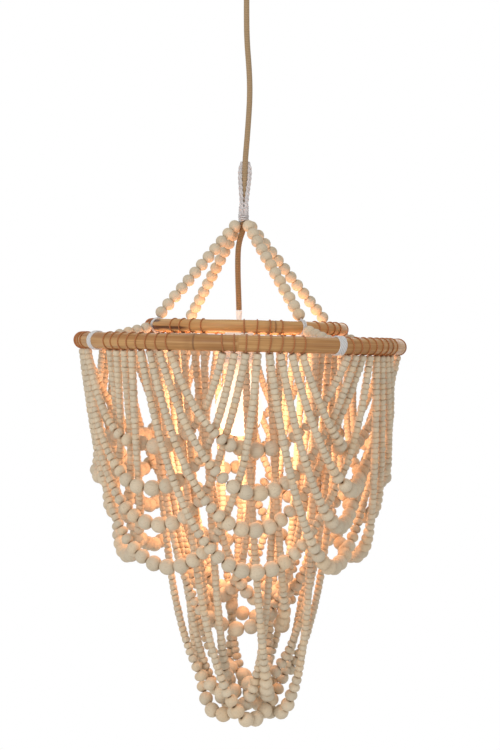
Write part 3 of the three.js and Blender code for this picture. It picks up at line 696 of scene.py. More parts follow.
class Shell:
    """Gathers tubes, turned forms and beads into the mesh of one piece.

    Every point has a place, which gives the finish its grain, a tone and a mark.
    """

    def __init__(self) -> None:
        """Starts with an empty mesh."""
        self.points: list[np.ndarray] = []
        self.faces: list[np.ndarray] = []
        self.places: list[np.ndarray] = []
        self.tones: list[np.ndarray] = []
        self.marks: list[np.ndarray] = []
        self.count = 0

    def add(
        self,
        points: np.ndarray,
        faces: Sequence[np.ndarray],
        places: Optional[np.ndarray] = None,
        tones: Any = 0.5,
        marks: Any = 0.0,
    ) -> None:
        """Adds points and faces.

        Args:
            points: Points in millimetres, one row each.
            faces: Arrays of faces with three or four corners.
            places: The points' places in millimetres, or None for the points themselves.
            tones: One tone, or one for each point.
            marks: One mark, or one for each point.
        """
        number = len(points)
        self.points.append(points)
        self.faces += [np.asarray(face, dtype=np.int64) + self.count for face in faces if len(face)]
        self.places.append(points if places is None else places)
        self.tones.append(np.broadcast_to(np.asarray(tones, dtype=float), (number,)))
        self.marks.append(np.broadcast_to(np.asarray(marks, dtype=float), (number,)))
        self.count += number

    def tube(
        self,
        path: np.ndarray,
        radius: Any,
        sides: int,
        closed: bool = False,
        across: Optional[np.ndarray] = None,
        tone: Any = 0.5,
        mark: Any = 0.0,
        caps: bool = True,
    ) -> None:
        """Adds a round tube along a path.

        Args:
            path: The points of its middle line.
            radius: Its radius, or one for each point.
            sides: The number of its sides.
            closed: Whether the path closes on itself.
            across: The direction that the rings' first axis leans to; by default it is carried along.
            tone: One tone, or one for each point of the path.
            mark: One mark, or one for each point of the path.
            caps: Whether an open tube gets its end faces.
        """
        count = len(path)
        if closed:
            along = np.roll(path, -1, 0) - np.roll(path, 1, 0)
        else:
            along = np.gradient(path, axis=0)
        along /= np.linalg.norm(along, axis=1)[:, None]
        sides_of = np.empty((count, 3))
        guide = across if across is not None else (
            UP if abs(along[0][2]) < 0.9 else np.array([1.0, 0.0, 0.0])
        )
        for i in range(count):
            side = guide - along[i] * float(np.dot(guide, along[i]))
            sides_of[i] = unit(side)
            if across is None:
                guide = sides_of[i]
        outs = np.cross(along, sides_of)
        radii = np.broadcast_to(np.asarray(radius, dtype=float), (count,))
        turn = np.arange(sides) / sides * TURN
        ring = (
            np.cos(turn)[None, :, None] * sides_of[:, None, :]
            + np.sin(turn)[None, :, None] * outs[:, None, :]
        )
        points = path[:, None, :] + ring * radii[:, None, None]
        steps = np.linalg.norm(np.diff(path, axis=0), axis=1)
        length = np.concatenate([[0.0], np.cumsum(steps)])
        places = np.empty_like(points)
        places[..., 0] = np.cos(turn)[None, :] * radii[:, None]
        places[..., 1] = np.sin(turn)[None, :] * radii[:, None]
        places[..., 2] = length[:, None]
        rings = count if closed else count - 1
        a = (np.arange(rings)[:, None] * sides + np.arange(sides)[None, :]).ravel()
        b = (np.arange(rings)[:, None] * sides + (np.arange(sides) + 1)[None, :] % sides).ravel()
        step = sides
        total = count * sides
        quads = np.stack([a, b, (b + step) % total, (a + step) % total], axis=1)
        faces: list[np.ndarray] = [quads]
        flat = points.reshape(-1, 3)
        flat_places = places.reshape(-1, 3)
        tones = np.repeat(np.broadcast_to(np.asarray(tone, dtype=float), (count,)), sides)
        marks = np.repeat(np.broadcast_to(np.asarray(mark, dtype=float), (count,)), sides)
        if caps and not closed:
            flat = np.vstack([flat, path[0], path[-1]])
            flat_places = np.vstack([flat_places, [0.0, 0.0, 0.0], [0.0, 0.0, length[-1]]])
            tones = np.append(tones, [tones[0], tones[-1]])
            marks = np.append(marks, [marks[0], marks[-1]])
            k = np.arange(sides)
            first = np.stack([np.full(sides, total), (k + 1) % sides, k], axis=1)
            base = (count - 1) * sides
            last = np.stack([np.full(sides, total + 1), base + k, base + (k + 1) % sides], axis=1)
            faces += [first, last]
        self.add(flat, faces, flat_places, tones, marks)

    def turned(
        self,
        profile: Sequence[tuple[float, float]],
        sides: int = 48,
        middle: tuple[float, float] = (0.0, 0.0),
        mark: Any = 0.0,
        ripple: Optional[Callable[[np.ndarray, np.ndarray], np.ndarray]] = None,
    ) -> None:
        """Adds a form turned round a vertical axis.

        Args:
            profile: Radius and height of each ring, in order round the section; it closes on itself
                unless it starts and ends on the axis.
            sides: The number of its sides.
            middle: x and y of the axis.
            mark: One mark, or one for each ring.
            ripple: What is added to the radius, from the angles and the heights.
        """
        rings = np.array(profile, dtype=float)
        count = len(rings)
        turn = np.arange(sides) / sides * TURN
        r = np.broadcast_to(rings[:, 0][:, None], (count, sides)).copy()
        z = np.broadcast_to(rings[:, 1][:, None], (count, sides))
        if ripple is not None:
            r = r + ripple(turn[None, :] + 0 * z, z) * (r > 0.01)
        points = np.stack([middle[0] + r * np.cos(turn), middle[1] + r * np.sin(turn), z], axis=2)
        open_ends = rings[0, 0] < 1e-6 and rings[-1, 0] < 1e-6
        reach = count - 1 if open_ends else count
        i = np.arange(reach)[:, None]
        k = np.arange(sides)[None, :]
        total = count * sides
        a = (i * sides + k).ravel()
        b = (i * sides + (k + 1) % sides).ravel()
        quads = np.stack([a, b, (b + sides) % total, (a + sides) % total], axis=1)
        marks = np.repeat(np.broadcast_to(np.asarray(mark, dtype=float), (count,)), sides)
        self.add(points.reshape(-1, 3), [quads], None, 0.5, marks)

    def object(self, name: str, material: bpy.types.Material, weld: bool = False) -> bpy.types.Object:
        """Turns what was gathered into an object in metres.

        Args:
            name: The piece's name.
            material: Its finish.
            weld: Whether points at one place become one, as on turned forms that end on their axis.

        Returns:
            The new object, smooth shaded.
        """
        mesh = bpy.data.meshes.new(name)
        points = np.vstack(self.points) * MM
        mesh.vertices.add(len(points))
        mesh.vertices.foreach_set("co", points.ravel())
        sizes = np.concatenate([np.full(len(face), face.shape[1]) for face in self.faces])
        corners = np.concatenate([face.ravel() for face in self.faces])
        mesh.loops.add(len(corners))
        mesh.loops.foreach_set("vertex_index", corners)
        mesh.polygons.add(len(sizes))
        mesh.polygons.foreach_set("loop_start", np.concatenate([[0], np.cumsum(sizes)[:-1]]))
        mesh.update(calc_edges=True)
        mesh.polygons.foreach_set("use_smooth", np.ones(len(sizes), dtype=bool))
        for label, kind, values in (
            ("place", "FLOAT_VECTOR", np.vstack(self.places) * MM),
            ("tone", "FLOAT", np.concatenate(self.tones)),
            ("mark", "FLOAT", np.concatenate(self.marks)),
        ):
            layer = mesh.attributes.new(label, kind, "POINT")
            layer.data.foreach_set("vector" if kind == "FLOAT_VECTOR" else "value", values.ravel())
        mesh.validate()
        mesh.materials.append(material)
        piece = bpy.data.objects.new(name, mesh)
        bpy.context.scene.collection.objects.link(piece)
        if weld:
            self.weld(piece)
        return piece

    @staticmethod
    def weld(piece: bpy.types.Object) -> None:
        """Joins points at one place and shades edges over 38 degrees sharp."""
        import bmesh

        work = bmesh.new()
        work.from_mesh(piece.data)
        bmesh.ops.remove_doubles(work, verts=work.verts, dist=1e-6)
        bmesh.ops.recalc_face_normals(work, faces=work.faces)
        for edge in work.edges:
            edge.smooth = len(edge.link_faces) == 2 and edge.calc_face_angle(0.0) < math.radians(38)
        work.to_mesh(piece.data)
        work.free()


def place_piece(
    piece: bpy.types.Object, body: Body, replaced: Sequence[str] = ()
) -> bpy.types.Object:
    """Puts a piece on its body and hides the nodes that it stands for."""
    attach(piece, body.value)
    if replaced:
        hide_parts(*replaced)
    LOG.info("%s: %d points on %s", piece.name, len(piece.data.vertices), body.value)
    return piece


def smooth_path(points: np.ndarray, parts: int) -> np.ndarray:
    """Returns a centripetal curve through the points, with the given parts between two of them."""
    full = np.vstack([2 * points[0] - points[1], points, 2 * points[-1] - points[-2]])
    out: list[np.ndarray] = []
    for i in range(1, len(full) - 2):
        p0, p1, p2, p3 = full[i - 1 : i + 3]
        knots = [0.0]
        for a, b in ((p0, p1), (p1, p2), (p2, p3)):
            knots.append(knots[-1] + math.sqrt(float(np.linalg.norm(b - a))) + 1e-9)
        t0, t1, t2, t3 = knots
        for k in range(parts):
            t = t1 + (t2 - t1) * k / parts
            a1 = (t1 - t) / (t1 - t0) * p0 + (t - t0) / (t1 - t0) * p1
            a2 = (t2 - t) / (t2 - t1) * p1 + (t - t1) / (t2 - t1) * p2
            a3 = (t3 - t) / (t3 - t2) * p2 + (t - t2) / (t3 - t2) * p3
            b1 = (t2 - t) / (t2 - t0) * a1 + (t - t0) / (t2 - t0) * a2
            b2 = (t3 - t) / (t3 - t1) * a2 + (t - t1) / (t3 - t1) * a3
            out.append((t2 - t) / (t2 - t1) * b1 + (t - t1) / (t2 - t1) * b2)
    out.append(points[-1])
    return np.array(out)


# ---- Cord ----


@dataclass
class HangingCord:
    """The supply cord from the rose to the crown, and the lead from there to the lampholder."""

    finishes: Finishes
    supply_radius: float = 3.5
    lead_radius: float = 3.5
    supply_route: tuple[tuple[float, float, float], ...] = (
        (0, 0, -53.3), (0, 0, -62), (0, 0, -76), (0.1, 0, -92), (0.4, 0, -106), (1.2, 0, -122),
        (2.4, 0, -138),
        (3.4, 0, -154), (3.9, 0, -170), (3.7, 0, -186), (2.9, 0, -202), (1.8, 0, -218), (0.6, 0, -234),
        (-0.6, 0, -248), (-1.6, 0, -262), (-2.08, 0, -277), (-2.56, 0, -292), (-3.04, 0, -307),
        (-3.52, 0, -322), (-4, 0, -337),
    )
    lead_route: tuple[tuple[float, float, float], ...] = (
        (-4, 0, -337.6), (-4.1, 0, -344), (-5.5, 0, -351), (-8.1, 0, -359), (-10.1, 0, -369),
        (-10.8, 0, -381),
        (-10.9, 0, -396), (-10.6, 0, -412), (-10.1, 0, -427), (-9.7, 0, -440), (-9.5, 0, -447.7),
    )

    def build(self) -> None:
        looks = self.finishes
        self.stretch(
            "woven_supply_cord", self.supply_route, self.supply_radius, Body.CORD, "supply_cord",
            looks.woven
        )
        self.stretch(
            "woven_lamp_lead", self.lead_route, self.lead_radius, Body.LAMP, "lamp_lead", looks.lead
        )

    @staticmethod
    def stretch(
        name: str, route: Sequence[tuple[float, float, float]], radius: float, body: Body, node: str,
        look: bpy.types.Material,
    ) -> None:
        """Builds one stretch of cord along its route."""
        path = smooth_path(np.array(route, dtype=float), 6)
        shell = Shell()
        shell.tube(path, radius, 24, across=np.array([0.0, 1.0, 0.0]))
        piece = shell.object(name, look)
        place_piece(piece, body, [node])


# ---- Hoops and what hangs on them ----

CROWN_DROP = 337.0
CROWN_OFFSET = -4.0
HOOP_SLOPE = 0.0227
GROUPS = 8
TIE_THICKNESS = 1.6


def hung(points: np.ndarray) -> np.ndarray:
    """Returns points of the hung part with the hoops' fall towards +X."""
    fallen = np.array(points, dtype=float)
    fallen[..., 2] -= HOOP_SLOPE * (fallen[..., 0] - CROWN_OFFSET)
    return fallen


def outward_at(turn: float) -> np.ndarray:
    """Returns the direction away from the axis at an angle."""
    return np.array([math.sin(turn), -math.cos(turn), 0.0])


def along_at(turn: float) -> np.ndarray:
    """Returns the direction along a hoop at an angle."""
    return np.array([math.cos(turn), math.sin(turn), 0.0])


@dataclass(frozen=True)
class Hoop:
    """One bent bamboo pole, with its joints and the scorched streaks left by bending."""

    name: str
    radius: float
    pole: float
    drop: float
    offset: float
    group_turn: float
    segments: int
    tie_turn: float
    tie_steps: tuple[int, ...]
    tie_width: float
    joints: tuple[float, ...] = ()
    scorches: tuple[tuple[float, float, float, float], ...] = ()

    def place(self, turn: float) -> np.ndarray:
        """Returns a place on the pole's middle line."""
        return np.array([self.offset, 0.0, -self.drop]) + outward_at(turn) * self.radius

    def tie_turns(self) -> list[float]:
        """Returns the angles of the ties."""
        return [math.radians(self.tie_turn) + TURN * step / self.segments for step in self.tie_steps]

    def tie_place(self, turn: float) -> np.ndarray:
        """Returns a tie's middle, which is on the middle of one of the modelled pole's straight segments."""
        flat_share = math.cos(math.pi / self.segments) - 1.0
        return self.place(turn) + outward_at(turn) * self.radius * flat_share

    def tie_reach(self) -> float:
        """Returns how far a tie's outside lies from the pole's middle line."""
        return self.pole + SEAT_GAP + TIE_THICKNESS

    def build(self, skin: bpy.types.Material) -> None:
        """Builds the pole with the given skin."""
        stations, sides = 720, 28
        turns = np.arange(stations) / stations * TURN
        path = np.array([self.place(t) for t in turns])
        radius = np.full(stations, self.pole - 0.25)
        mark = np.zeros(stations)
        for joint in self.joints:
            away = (np.degrees(turns) - joint + 180.0) % 360.0 - 180.0
            reach = np.radians(away) * self.radius
            radius += 0.45 * np.exp(-((reach / 3.2) ** 2)) - 0.55 * np.exp(-((reach / 0.9) ** 2))
            mark = np.maximum(mark, np.exp(-((reach / 1.1) ** 2)))
            mark = np.maximum(mark, 0.28 * np.exp(-(((reach + 6.0) / 7.0) ** 2)))
        radius += 0.12 * np.sin(turns * 9.0 + self.pole) + 0.08 * np.sin(turns * 23.0)
        shell = Shell()
        shell.tube(path, radius, sides, closed=True, across=UP, mark=mark)
        tone = np.zeros((stations, sides))
        section = (np.arange(sides) / sides * 360.0)[None, :]
        for middle, half, side, width in self.scorches:
            away = np.abs((np.degrees(turns) - middle + 180.0) % 360.0 - 180.0)[:, None]
            across = (section - side + 180.0) % 360.0 - 180.0
            fade = np.clip((half - away) / (0.35 * half), 0.0, 1.0)
            tone = np.maximum(tone, fade * np.exp(-((across / width) ** 2)))
        shell.tones = [tone.ravel()]
        shell.points = [hung(shell.points[0])]
        piece = shell.object("bamboo_" + self.name, skin)
        place_piece(piece, Body.FRAME, [self.name])


INNER_HOOP = Hoop(
    "inner_hoop", 118.5, 7.8, 469.4, 0.0, 9.3, 29, -66.0, (0, 8, 15, 23), 7.0, (16.0, 150.0, 262.0),
    ((-70.0, 15.0, 43.0, 17.0), (-70.0, 16.0, 117.0, 23.0), (-56.0, 25.0, 113.0, 15.0)),
)
OUTER_HOOP = Hoop(
    "outer_hoop", 196.25, 9.75, 489.6, -8.0, 8.0, 34, -60.0, (0, 9, 17, 26), 12.0,
    (-14.5, 62.0, 131.0, 205.0, 283.0),
)


@dataclass(frozen=True)
class BeadForm:
    """A turned bead with flat ends and a hole, one unit across and one unit long to each side.

    end is the radius of its flat ends and square how full its side is: 2 is a ball, more is a barrel.
    """

    sides: int
    rows: int
    square: float
    end: float
    hole: float = 0.19

    def mesh(self) -> tuple[np.ndarray, np.ndarray, np.ndarray]:
        """Returns its points, its faces and the marks for its end grain and for the shade painted into its
        hole.
        """
        z = np.sin(np.linspace(math.pi / 2, -math.pi / 2, self.rows))
        r = (1.0 - (1.0 - self.end**self.square) * np.abs(z) ** self.square) ** (1.0 / self.square)
        inside = self.hole * 0.82
        r = np.concatenate([[self.hole * 1.2], r, [self.hole * 1.2, inside, inside]])
        z = np.concatenate([[1.0], z, [-1.0, -0.86, 0.86]])
        marks = np.zeros(self.rows + 4)
        # Marks: 0.3 on the end rings is end grain only; 0.72 on the mouths and 1.0 inside paint the hole's
        # shade.
        marks[[1, self.rows]] = 0.3
        marks[[0, -3]] = 0.72
        marks[-2:] = 1.0
        turn = np.arange(self.sides) / self.sides * TURN
        points = np.stack([
            r[:, None] * np.cos(turn), r[:, None] * np.sin(turn), np.repeat(z[:, None], self.sides, 1),
        ], axis=2)
        rows = self.rows + 4
        i = np.arange(rows)[:, None]
        k = np.arange(self.sides)[None, :]
        a = i * self.sides + k
        b = i * self.sides + (k + 1) % self.sides
        c = ((i + 1) % rows) * self.sides + (k + 1) % self.sides
        d = ((i + 1) % rows) * self.sides + k
        quads = np.stack([b, a, d, c], axis=2).reshape(-1, 4)
        return points.reshape(-1, 3), quads, np.repeat(marks, self.sides)


class BeadSize(Enum):
    """How finely a bead is turned, by its size."""

    SMALL = BeadForm(12, 5, 3.0, 0.78)
    MIDDLE = BeadForm(14, 7, 2.3, 0.58)
    LARGE = BeadForm(20, 9, 2.0, 0.40, 0.15)

    @classmethod
    def of(cls, diameter: float) -> BeadSize:
        """Returns the size for a diameter."""
        return cls.SMALL if diameter < 10.6 else cls.MIDDLE if diameter < 13.5 else cls.LARGE


class BeadStringer:
    """Places beads on a shell, each with its own tilt, size and tone."""

    def __init__(self, seed: int) -> None:
        """Starts the variation from a fixed seed."""
        self.random = np.random.RandomState(seed)

    def string(
        self, shell: Shell, middles: np.ndarray, along: np.ndarray, diameters: np.ndarray,
        lengths: np.ndarray,
    ) -> None:
        """Adds beads to a shell.

        Args:
            shell: What the beads are added to.
            middles: The beads' middles.
            along: The direction of the thread at each bead.
            diameters: Their diameters.
            lengths: Their lengths along the thread.
        """
        count = len(middles)
        tilt = self.random.normal(0.0, 0.065, (count, 3))
        tilt[diameters > 14.0] *= 0.38
        axis = along + tilt
        axis /= np.linalg.norm(axis, axis=1)[:, None]
        guide = self.random.normal(0.0, 1.0, (count, 3))
        x = np.cross(guide, axis)
        x /= np.linalg.norm(x, axis=1)[:, None]
        y = np.cross(axis, x)
        swell = 0.995 + self.random.normal(0.0, 0.034, count).clip(-0.08, 0.06)
        swell[diameters > 14.0] = 0.985 + (swell[diameters > 14.0] - 0.995) * 0.16
        tones = self.random.uniform(0.0, 1.0, count)
        shifts = self.random.uniform(-900.0, 900.0, (count, 3))
        sizes = np.array([list(BeadSize).index(BeadSize.of(d)) for d in diameters])
        for index, size in enumerate(BeadSize):
            chosen = np.nonzero(sizes == index)[0]
            if not len(chosen):
                continue
            form, quads, marks = size.value.mesh()
            r = (diameters[chosen] / 2 * swell[chosen])[:, None, None]
            h = (lengths[chosen] / 2)[:, None, None]
            local = np.concatenate([form[None, :, :2] * r, form[None, :, 2:] * h], axis=2)
            points = (
                middles[chosen][:, None, :]
                + local[..., 0:1] * x[chosen][:, None, :]
                + local[..., 1:2] * y[chosen][:, None, :]
                + local[..., 2:3] * axis[chosen][:, None, :]
            )
            number = len(form)
            base = np.arange(len(chosen))[:, None, None] * number
            faces = (quads[None] + base).reshape(-1, 4)
            # The grain runs along the thread; each bead's grain starts at a place of its own.
            places = local + shifts[chosen][:, None, :]
            shell.add(
                points.reshape(-1, 3), [faces], places.reshape(-1, 3), np.repeat(tones[chosen], number),
                np.tile(marks, len(chosen)),
            )


# ---- Garlands ----


@dataclass
class Swag:
    """One hanging string: its bead places along the thread and where they hang."""

    places: np.ndarray
    diameters: np.ndarray
    node_places: np.ndarray
    node_radii: np.ndarray
    half_turn: float
    turn: float
    point: Callable[[float], np.ndarray]
    nodes: np.ndarray = field(default_factory=lambda: np.zeros((0, 3)))
    beads: np.ndarray = field(default_factory=lambda: np.zeros((0, 3)))


@dataclass(frozen=True)
class SwagSize:
    """How far a swag reaches, how deep it hangs, and how its beads grow."""

    half_turn: float
    sag: tuple[float, float]
    graduation: float
    leg_steps: int


@dataclass(frozen=True)
class Tier:
    """The garlands of one hoop."""

    hoop: Hoop
    middle_turn: float
    lean: float
    swags: tuple[SwagSize, ...]
    small: float = 9.6
    large: float = 19.6
    small_pitch_share: float = 0.68
    large_pitch_share: float = 0.92
    leg_share: float = 0.94
    modelled_beads: int = 3

    def diameter(self, number: int, graduation: float) -> float:
        """Returns the diameter of the bead that is number beads from the middle."""
        return self.small + (self.large - self.small) * math.exp(-((number / graduation) ** 2))

    def pitch(self, diameter: float) -> float:
        """Returns the length that a bead takes up on its thread: small beads are flatter."""
        share = (diameter - self.small) / (self.large - self.small)
        return diameter * (
            self.small_pitch_share + (self.large_pitch_share - self.small_pitch_share) * share
        )

    def hang(self, size: SwagSize, group: int) -> Swag:
        """Hangs one swag as a catenary that leans outward on the left and inward on the right."""
        hoop = self.hoop
        turn = math.radians(hoop.group_turn + self.middle_turn + 360.0 / GROUPS * group)
        half_turn = math.radians(size.half_turn)
        half = hoop.radius * math.sin(half_turn)
        top = -hoop.drop - hoop.pole - SEAT_GAP
        drop = size.sag[group % 2] - hoop.pole - SEAT_GAP
        low, high = 1e-3, 14.0
        for _ in range(60):
            k = (low + high) / 2
            if (math.cosh(k) - 1) / k < drop / half:
                low = k
            else:
                high = k
        parameter = half / ((low + high) / 2)
        reach = parameter * math.sinh(half / parameter)
        places, diameters = [0.0], [self.diameter(0, size.graduation)]
        while True:
            wide = self.diameter(len(places), size.graduation)
            s = places[-1] + (self.pitch(diameters[-1]) + self.pitch(wide)) / 2
            if s + self.pitch(wide) / 2 > reach:
                break
            places.append(s)
            diameters.append(wide)

        def point(s: float) -> np.ndarray:
            """Returns where the thread hangs at a length s from its middle."""
            u = parameter * math.asinh(s / parameter)
            out = hoop.radius * math.cos(half_turn) - self.lean * math.sin(math.pi * u / half)
            z = top - drop + parameter * (math.cosh(u / parameter) - 1)
            return np.array([hoop.offset, 0.0, z]) + outward_at(turn) * out + along_at(turn) * u

        right = places[1 : self.modelled_beads + 1]
        radii = [d / 2 for d in diameters[1 : self.modelled_beads + 1]]
        start = places[self.modelled_beads]
        for i in range(1, size.leg_steps + 1):
            s = start + (reach - start) * i / size.leg_steps
            nearest = min(range(len(places)), key=lambda n: abs(places[n] - s))
            right = right + [s]
            radii = radii + [diameters[nearest] / 2 * self.leg_share]
        node_places = np.array([-s for s in reversed(right)] + [0.0] + right)
        node_radii = np.array(list(reversed(radii)) + [diameters[0] / 2] + radii)
        stretch = (reach - 0.8) / (places[-1] + self.pitch(diameters[-1]) / 2)
        full = np.array([-s for s in reversed(places[1:])] + places) * stretch
        across = np.array(list(reversed(diameters[1:])) + diameters)
        nodes = np.array([point(s) for s in node_places])
        return Swag(full, across, node_places, node_radii, half_turn, turn, point, nodes)


OUTER_TIER = Tier(
    OUTER_HOOP, 0.0, 8.0,
    (
        SwagSize(31.7, (123.0, 123.0), 3.4, 3), SwagSize(35.5, (167.0, 167.0), 4.0, 3),
        SwagSize(39.3, (215.0, 215.0), 4.6, 4), SwagSize(43.1, (266.0, 266.0), 5.2, 4),
    ),
)
LOWER_TIER = Tier(
    INNER_HOOP, 22.5, 8.0,
    (SwagSize(78.0, (474.0, 458.0), 4.8, 4), SwagSize(64.0, (336.0, 372.0), 4.2, 4)),
)
PARTNER_STEP = 3


def nearest_shares(
    a0: np.ndarray, a1: np.ndarray, b0: np.ndarray, b1: np.ndarray
) -> tuple[np.ndarray, np.ndarray]:
    """Returns the nearest places of pairs of straight stretches, as shares of their lengths."""
    along_a, along_b, apart = a1 - a0, b1 - b0, a0 - b0
    aa, bb, ab = (along_a**2).sum(1), (along_b**2).sum(1), (along_a * along_b).sum(1)
    ca, cb = (along_a * apart).sum(1), (along_b * apart).sum(1)
    crossing = np.maximum(aa * bb - ab * ab, 1e-9 * aa * bb)
    share_a = np.clip((ab * cb - ca * bb) / crossing, 0.0, 1.0)
    free = (ab * share_a + cb) / bb
    share_b = np.clip(free, 0.0, 1.0)
    share_a = np.where(share_b != free, np.clip((ab * share_b - ca) / aa, 0.0, 1.0), share_a)
    return share_a, share_b


@dataclass(frozen=True)
class Settling:
    """Eases touching strings apart, first as stretches between nodes, then bead by bead."""

    rounds: int = 400
    gap: float = 0.5
    gain: float = 0.6
    spread: float = 0.12
    bead_rounds: int = 90
    bead_gap: float = 0.15

    def settle_nodes(self, swags: Sequence[Swag]) -> None:
        """Moves the swags' nodes apart where their beads would touch; the ends stay at the hoop."""
        rest = np.vstack([swag.nodes for swag in swags])
        radius = np.concatenate([swag.node_radii for swag in swags])
        starts = np.cumsum([0] + [len(swag.nodes) for swag in swags])
        owner = np.repeat(np.arange(len(swags)), np.diff(starts))
        held = np.zeros(len(rest), dtype=bool)
        held[starts[:-1]] = held[starts[1:] - 1] = True
        first = np.nonzero(owner[:-1] == owner[1:])[0]
        i, j = np.triu_indices(len(first), 1)
        apart = owner[first[i]] != owner[first[j]]
        i, j = first[i[apart]], first[j[apart]]
        s, t = nearest_shares(rest[i], rest[i + 1], rest[j], rest[j + 1])
        reach = (
            rest[i] + (rest[i + 1] - rest[i]) * s[:, None]
            - rest[j] - (rest[j + 1] - rest[j]) * t[:, None]
        )
        near = np.linalg.norm(reach, axis=1) < radius[i] + radius[i + 1] + radius[j] + radius[j + 1]
        i, j = i[near], j[near]
        at, shift = rest.copy(), np.zeros_like(rest)
        free = np.nonzero(~held)[0]
        for number in range(self.rounds):
            s, t = nearest_shares(at[i], at[i + 1], at[j], at[j + 1])
            away = at[i] + (at[i + 1] - at[i]) * s[:, None] - at[j] - (at[j + 1] - at[j]) * t[:, None]
            width = radius[i] * (1 - s) + radius[i + 1] * s + radius[j] * (1 - t) + radius[j + 1] * t
            gap = np.linalg.norm(away, axis=1)
            short = gap < width + self.gap
            scale = np.where(short, self.gain * (width + self.gap - gap) / 2 / gap, 0.0)
            away *= scale[:, None]
            push = np.zeros_like(rest)
            np.add.at(push, i, away * (1 - s)[:, None])
            np.add.at(push, i + 1, away * s[:, None])
            np.add.at(push, j, away * (t - 1)[:, None])
            np.add.at(push, j + 1, away * -t[:, None])
            spread = self.spread if number < self.rounds / 2 else 0.0
            even = (shift[free - 1] + shift[free + 1]) / 2 - shift[free]
            shift[free] += even * spread + push[free]
            at = rest + shift
        for k, swag in enumerate(swags):
            swag.nodes = at[starts[k] : starts[k + 1]]
            self.place_beads(swag, shift[starts[k] : starts[k + 1]])

    @staticmethod
    def place_beads(swag: Swag, shift: np.ndarray) -> None:
        """Sets a swag's beads along its thread, with the shifts of its nodes blended in between."""
        spots = np.array([swag.point(s) for s in swag.places])
        for axis in range(3):
            spots[:, axis] += np.interp(swag.places, swag.node_places, shift[:, axis])
        swag.beads = spots

    def settle_beads(self, swags: Sequence[Swag]) -> None:
        """Moves single beads apart, with each string kept smooth."""
        at = np.vstack([swag.beads for swag in swags])
        radius = np.concatenate([swag.diameters for swag in swags]) / 2
        starts = np.cumsum([0] + [len(swag.beads) for swag in swags])
        owner = np.repeat(np.arange(len(swags)), np.diff(starts))
        held = np.zeros(len(at), dtype=bool)
        held[starts[:-1]] = held[starts[1:] - 1] = True
        pairs: list[np.ndarray] = []
        for low in range(0, len(at), 400):
            block = at[low : low + 400]
            gap = np.linalg.norm(block[:, None, :] - at[None, :, :], axis=2)
            close = gap < radius[low : low + 400][:, None] + radius[None, :] + 7.0
            close &= owner[low : low + 400][:, None] < owner[None, :]
            one, two = np.nonzero(close)
            pairs.append(np.stack([one + low, two], axis=1))
        i, j = np.vstack(pairs).T
        rest, shift = at.copy(), np.zeros_like(at)
        free = np.nonzero(~held)[0]
        for number in range(self.bead_rounds):
            away = at[i] - at[j]
            gap = np.linalg.norm(away, axis=1)
            want = radius[i] + radius[j] + self.bead_gap
            scale = np.where(gap < want, 0.5 * (want - gap) / 2 / np.maximum(gap, 0.1), 0.0)
            away *= scale[:, None]
            push = np.zeros_like(at)
            np.add.at(push, i, away)
            np.add.at(push, j, -away)
            even = (shift[free - 1] + shift[free + 1]) / 2 - shift[free]
            shift[free] += even * (0.3 if number < self.bead_rounds * 0.7 else 0.05) + push[free]
            at = rest + shift
        for k, swag in enumerate(swags):
            swag.beads = at[starts[k] : starts[k + 1]]


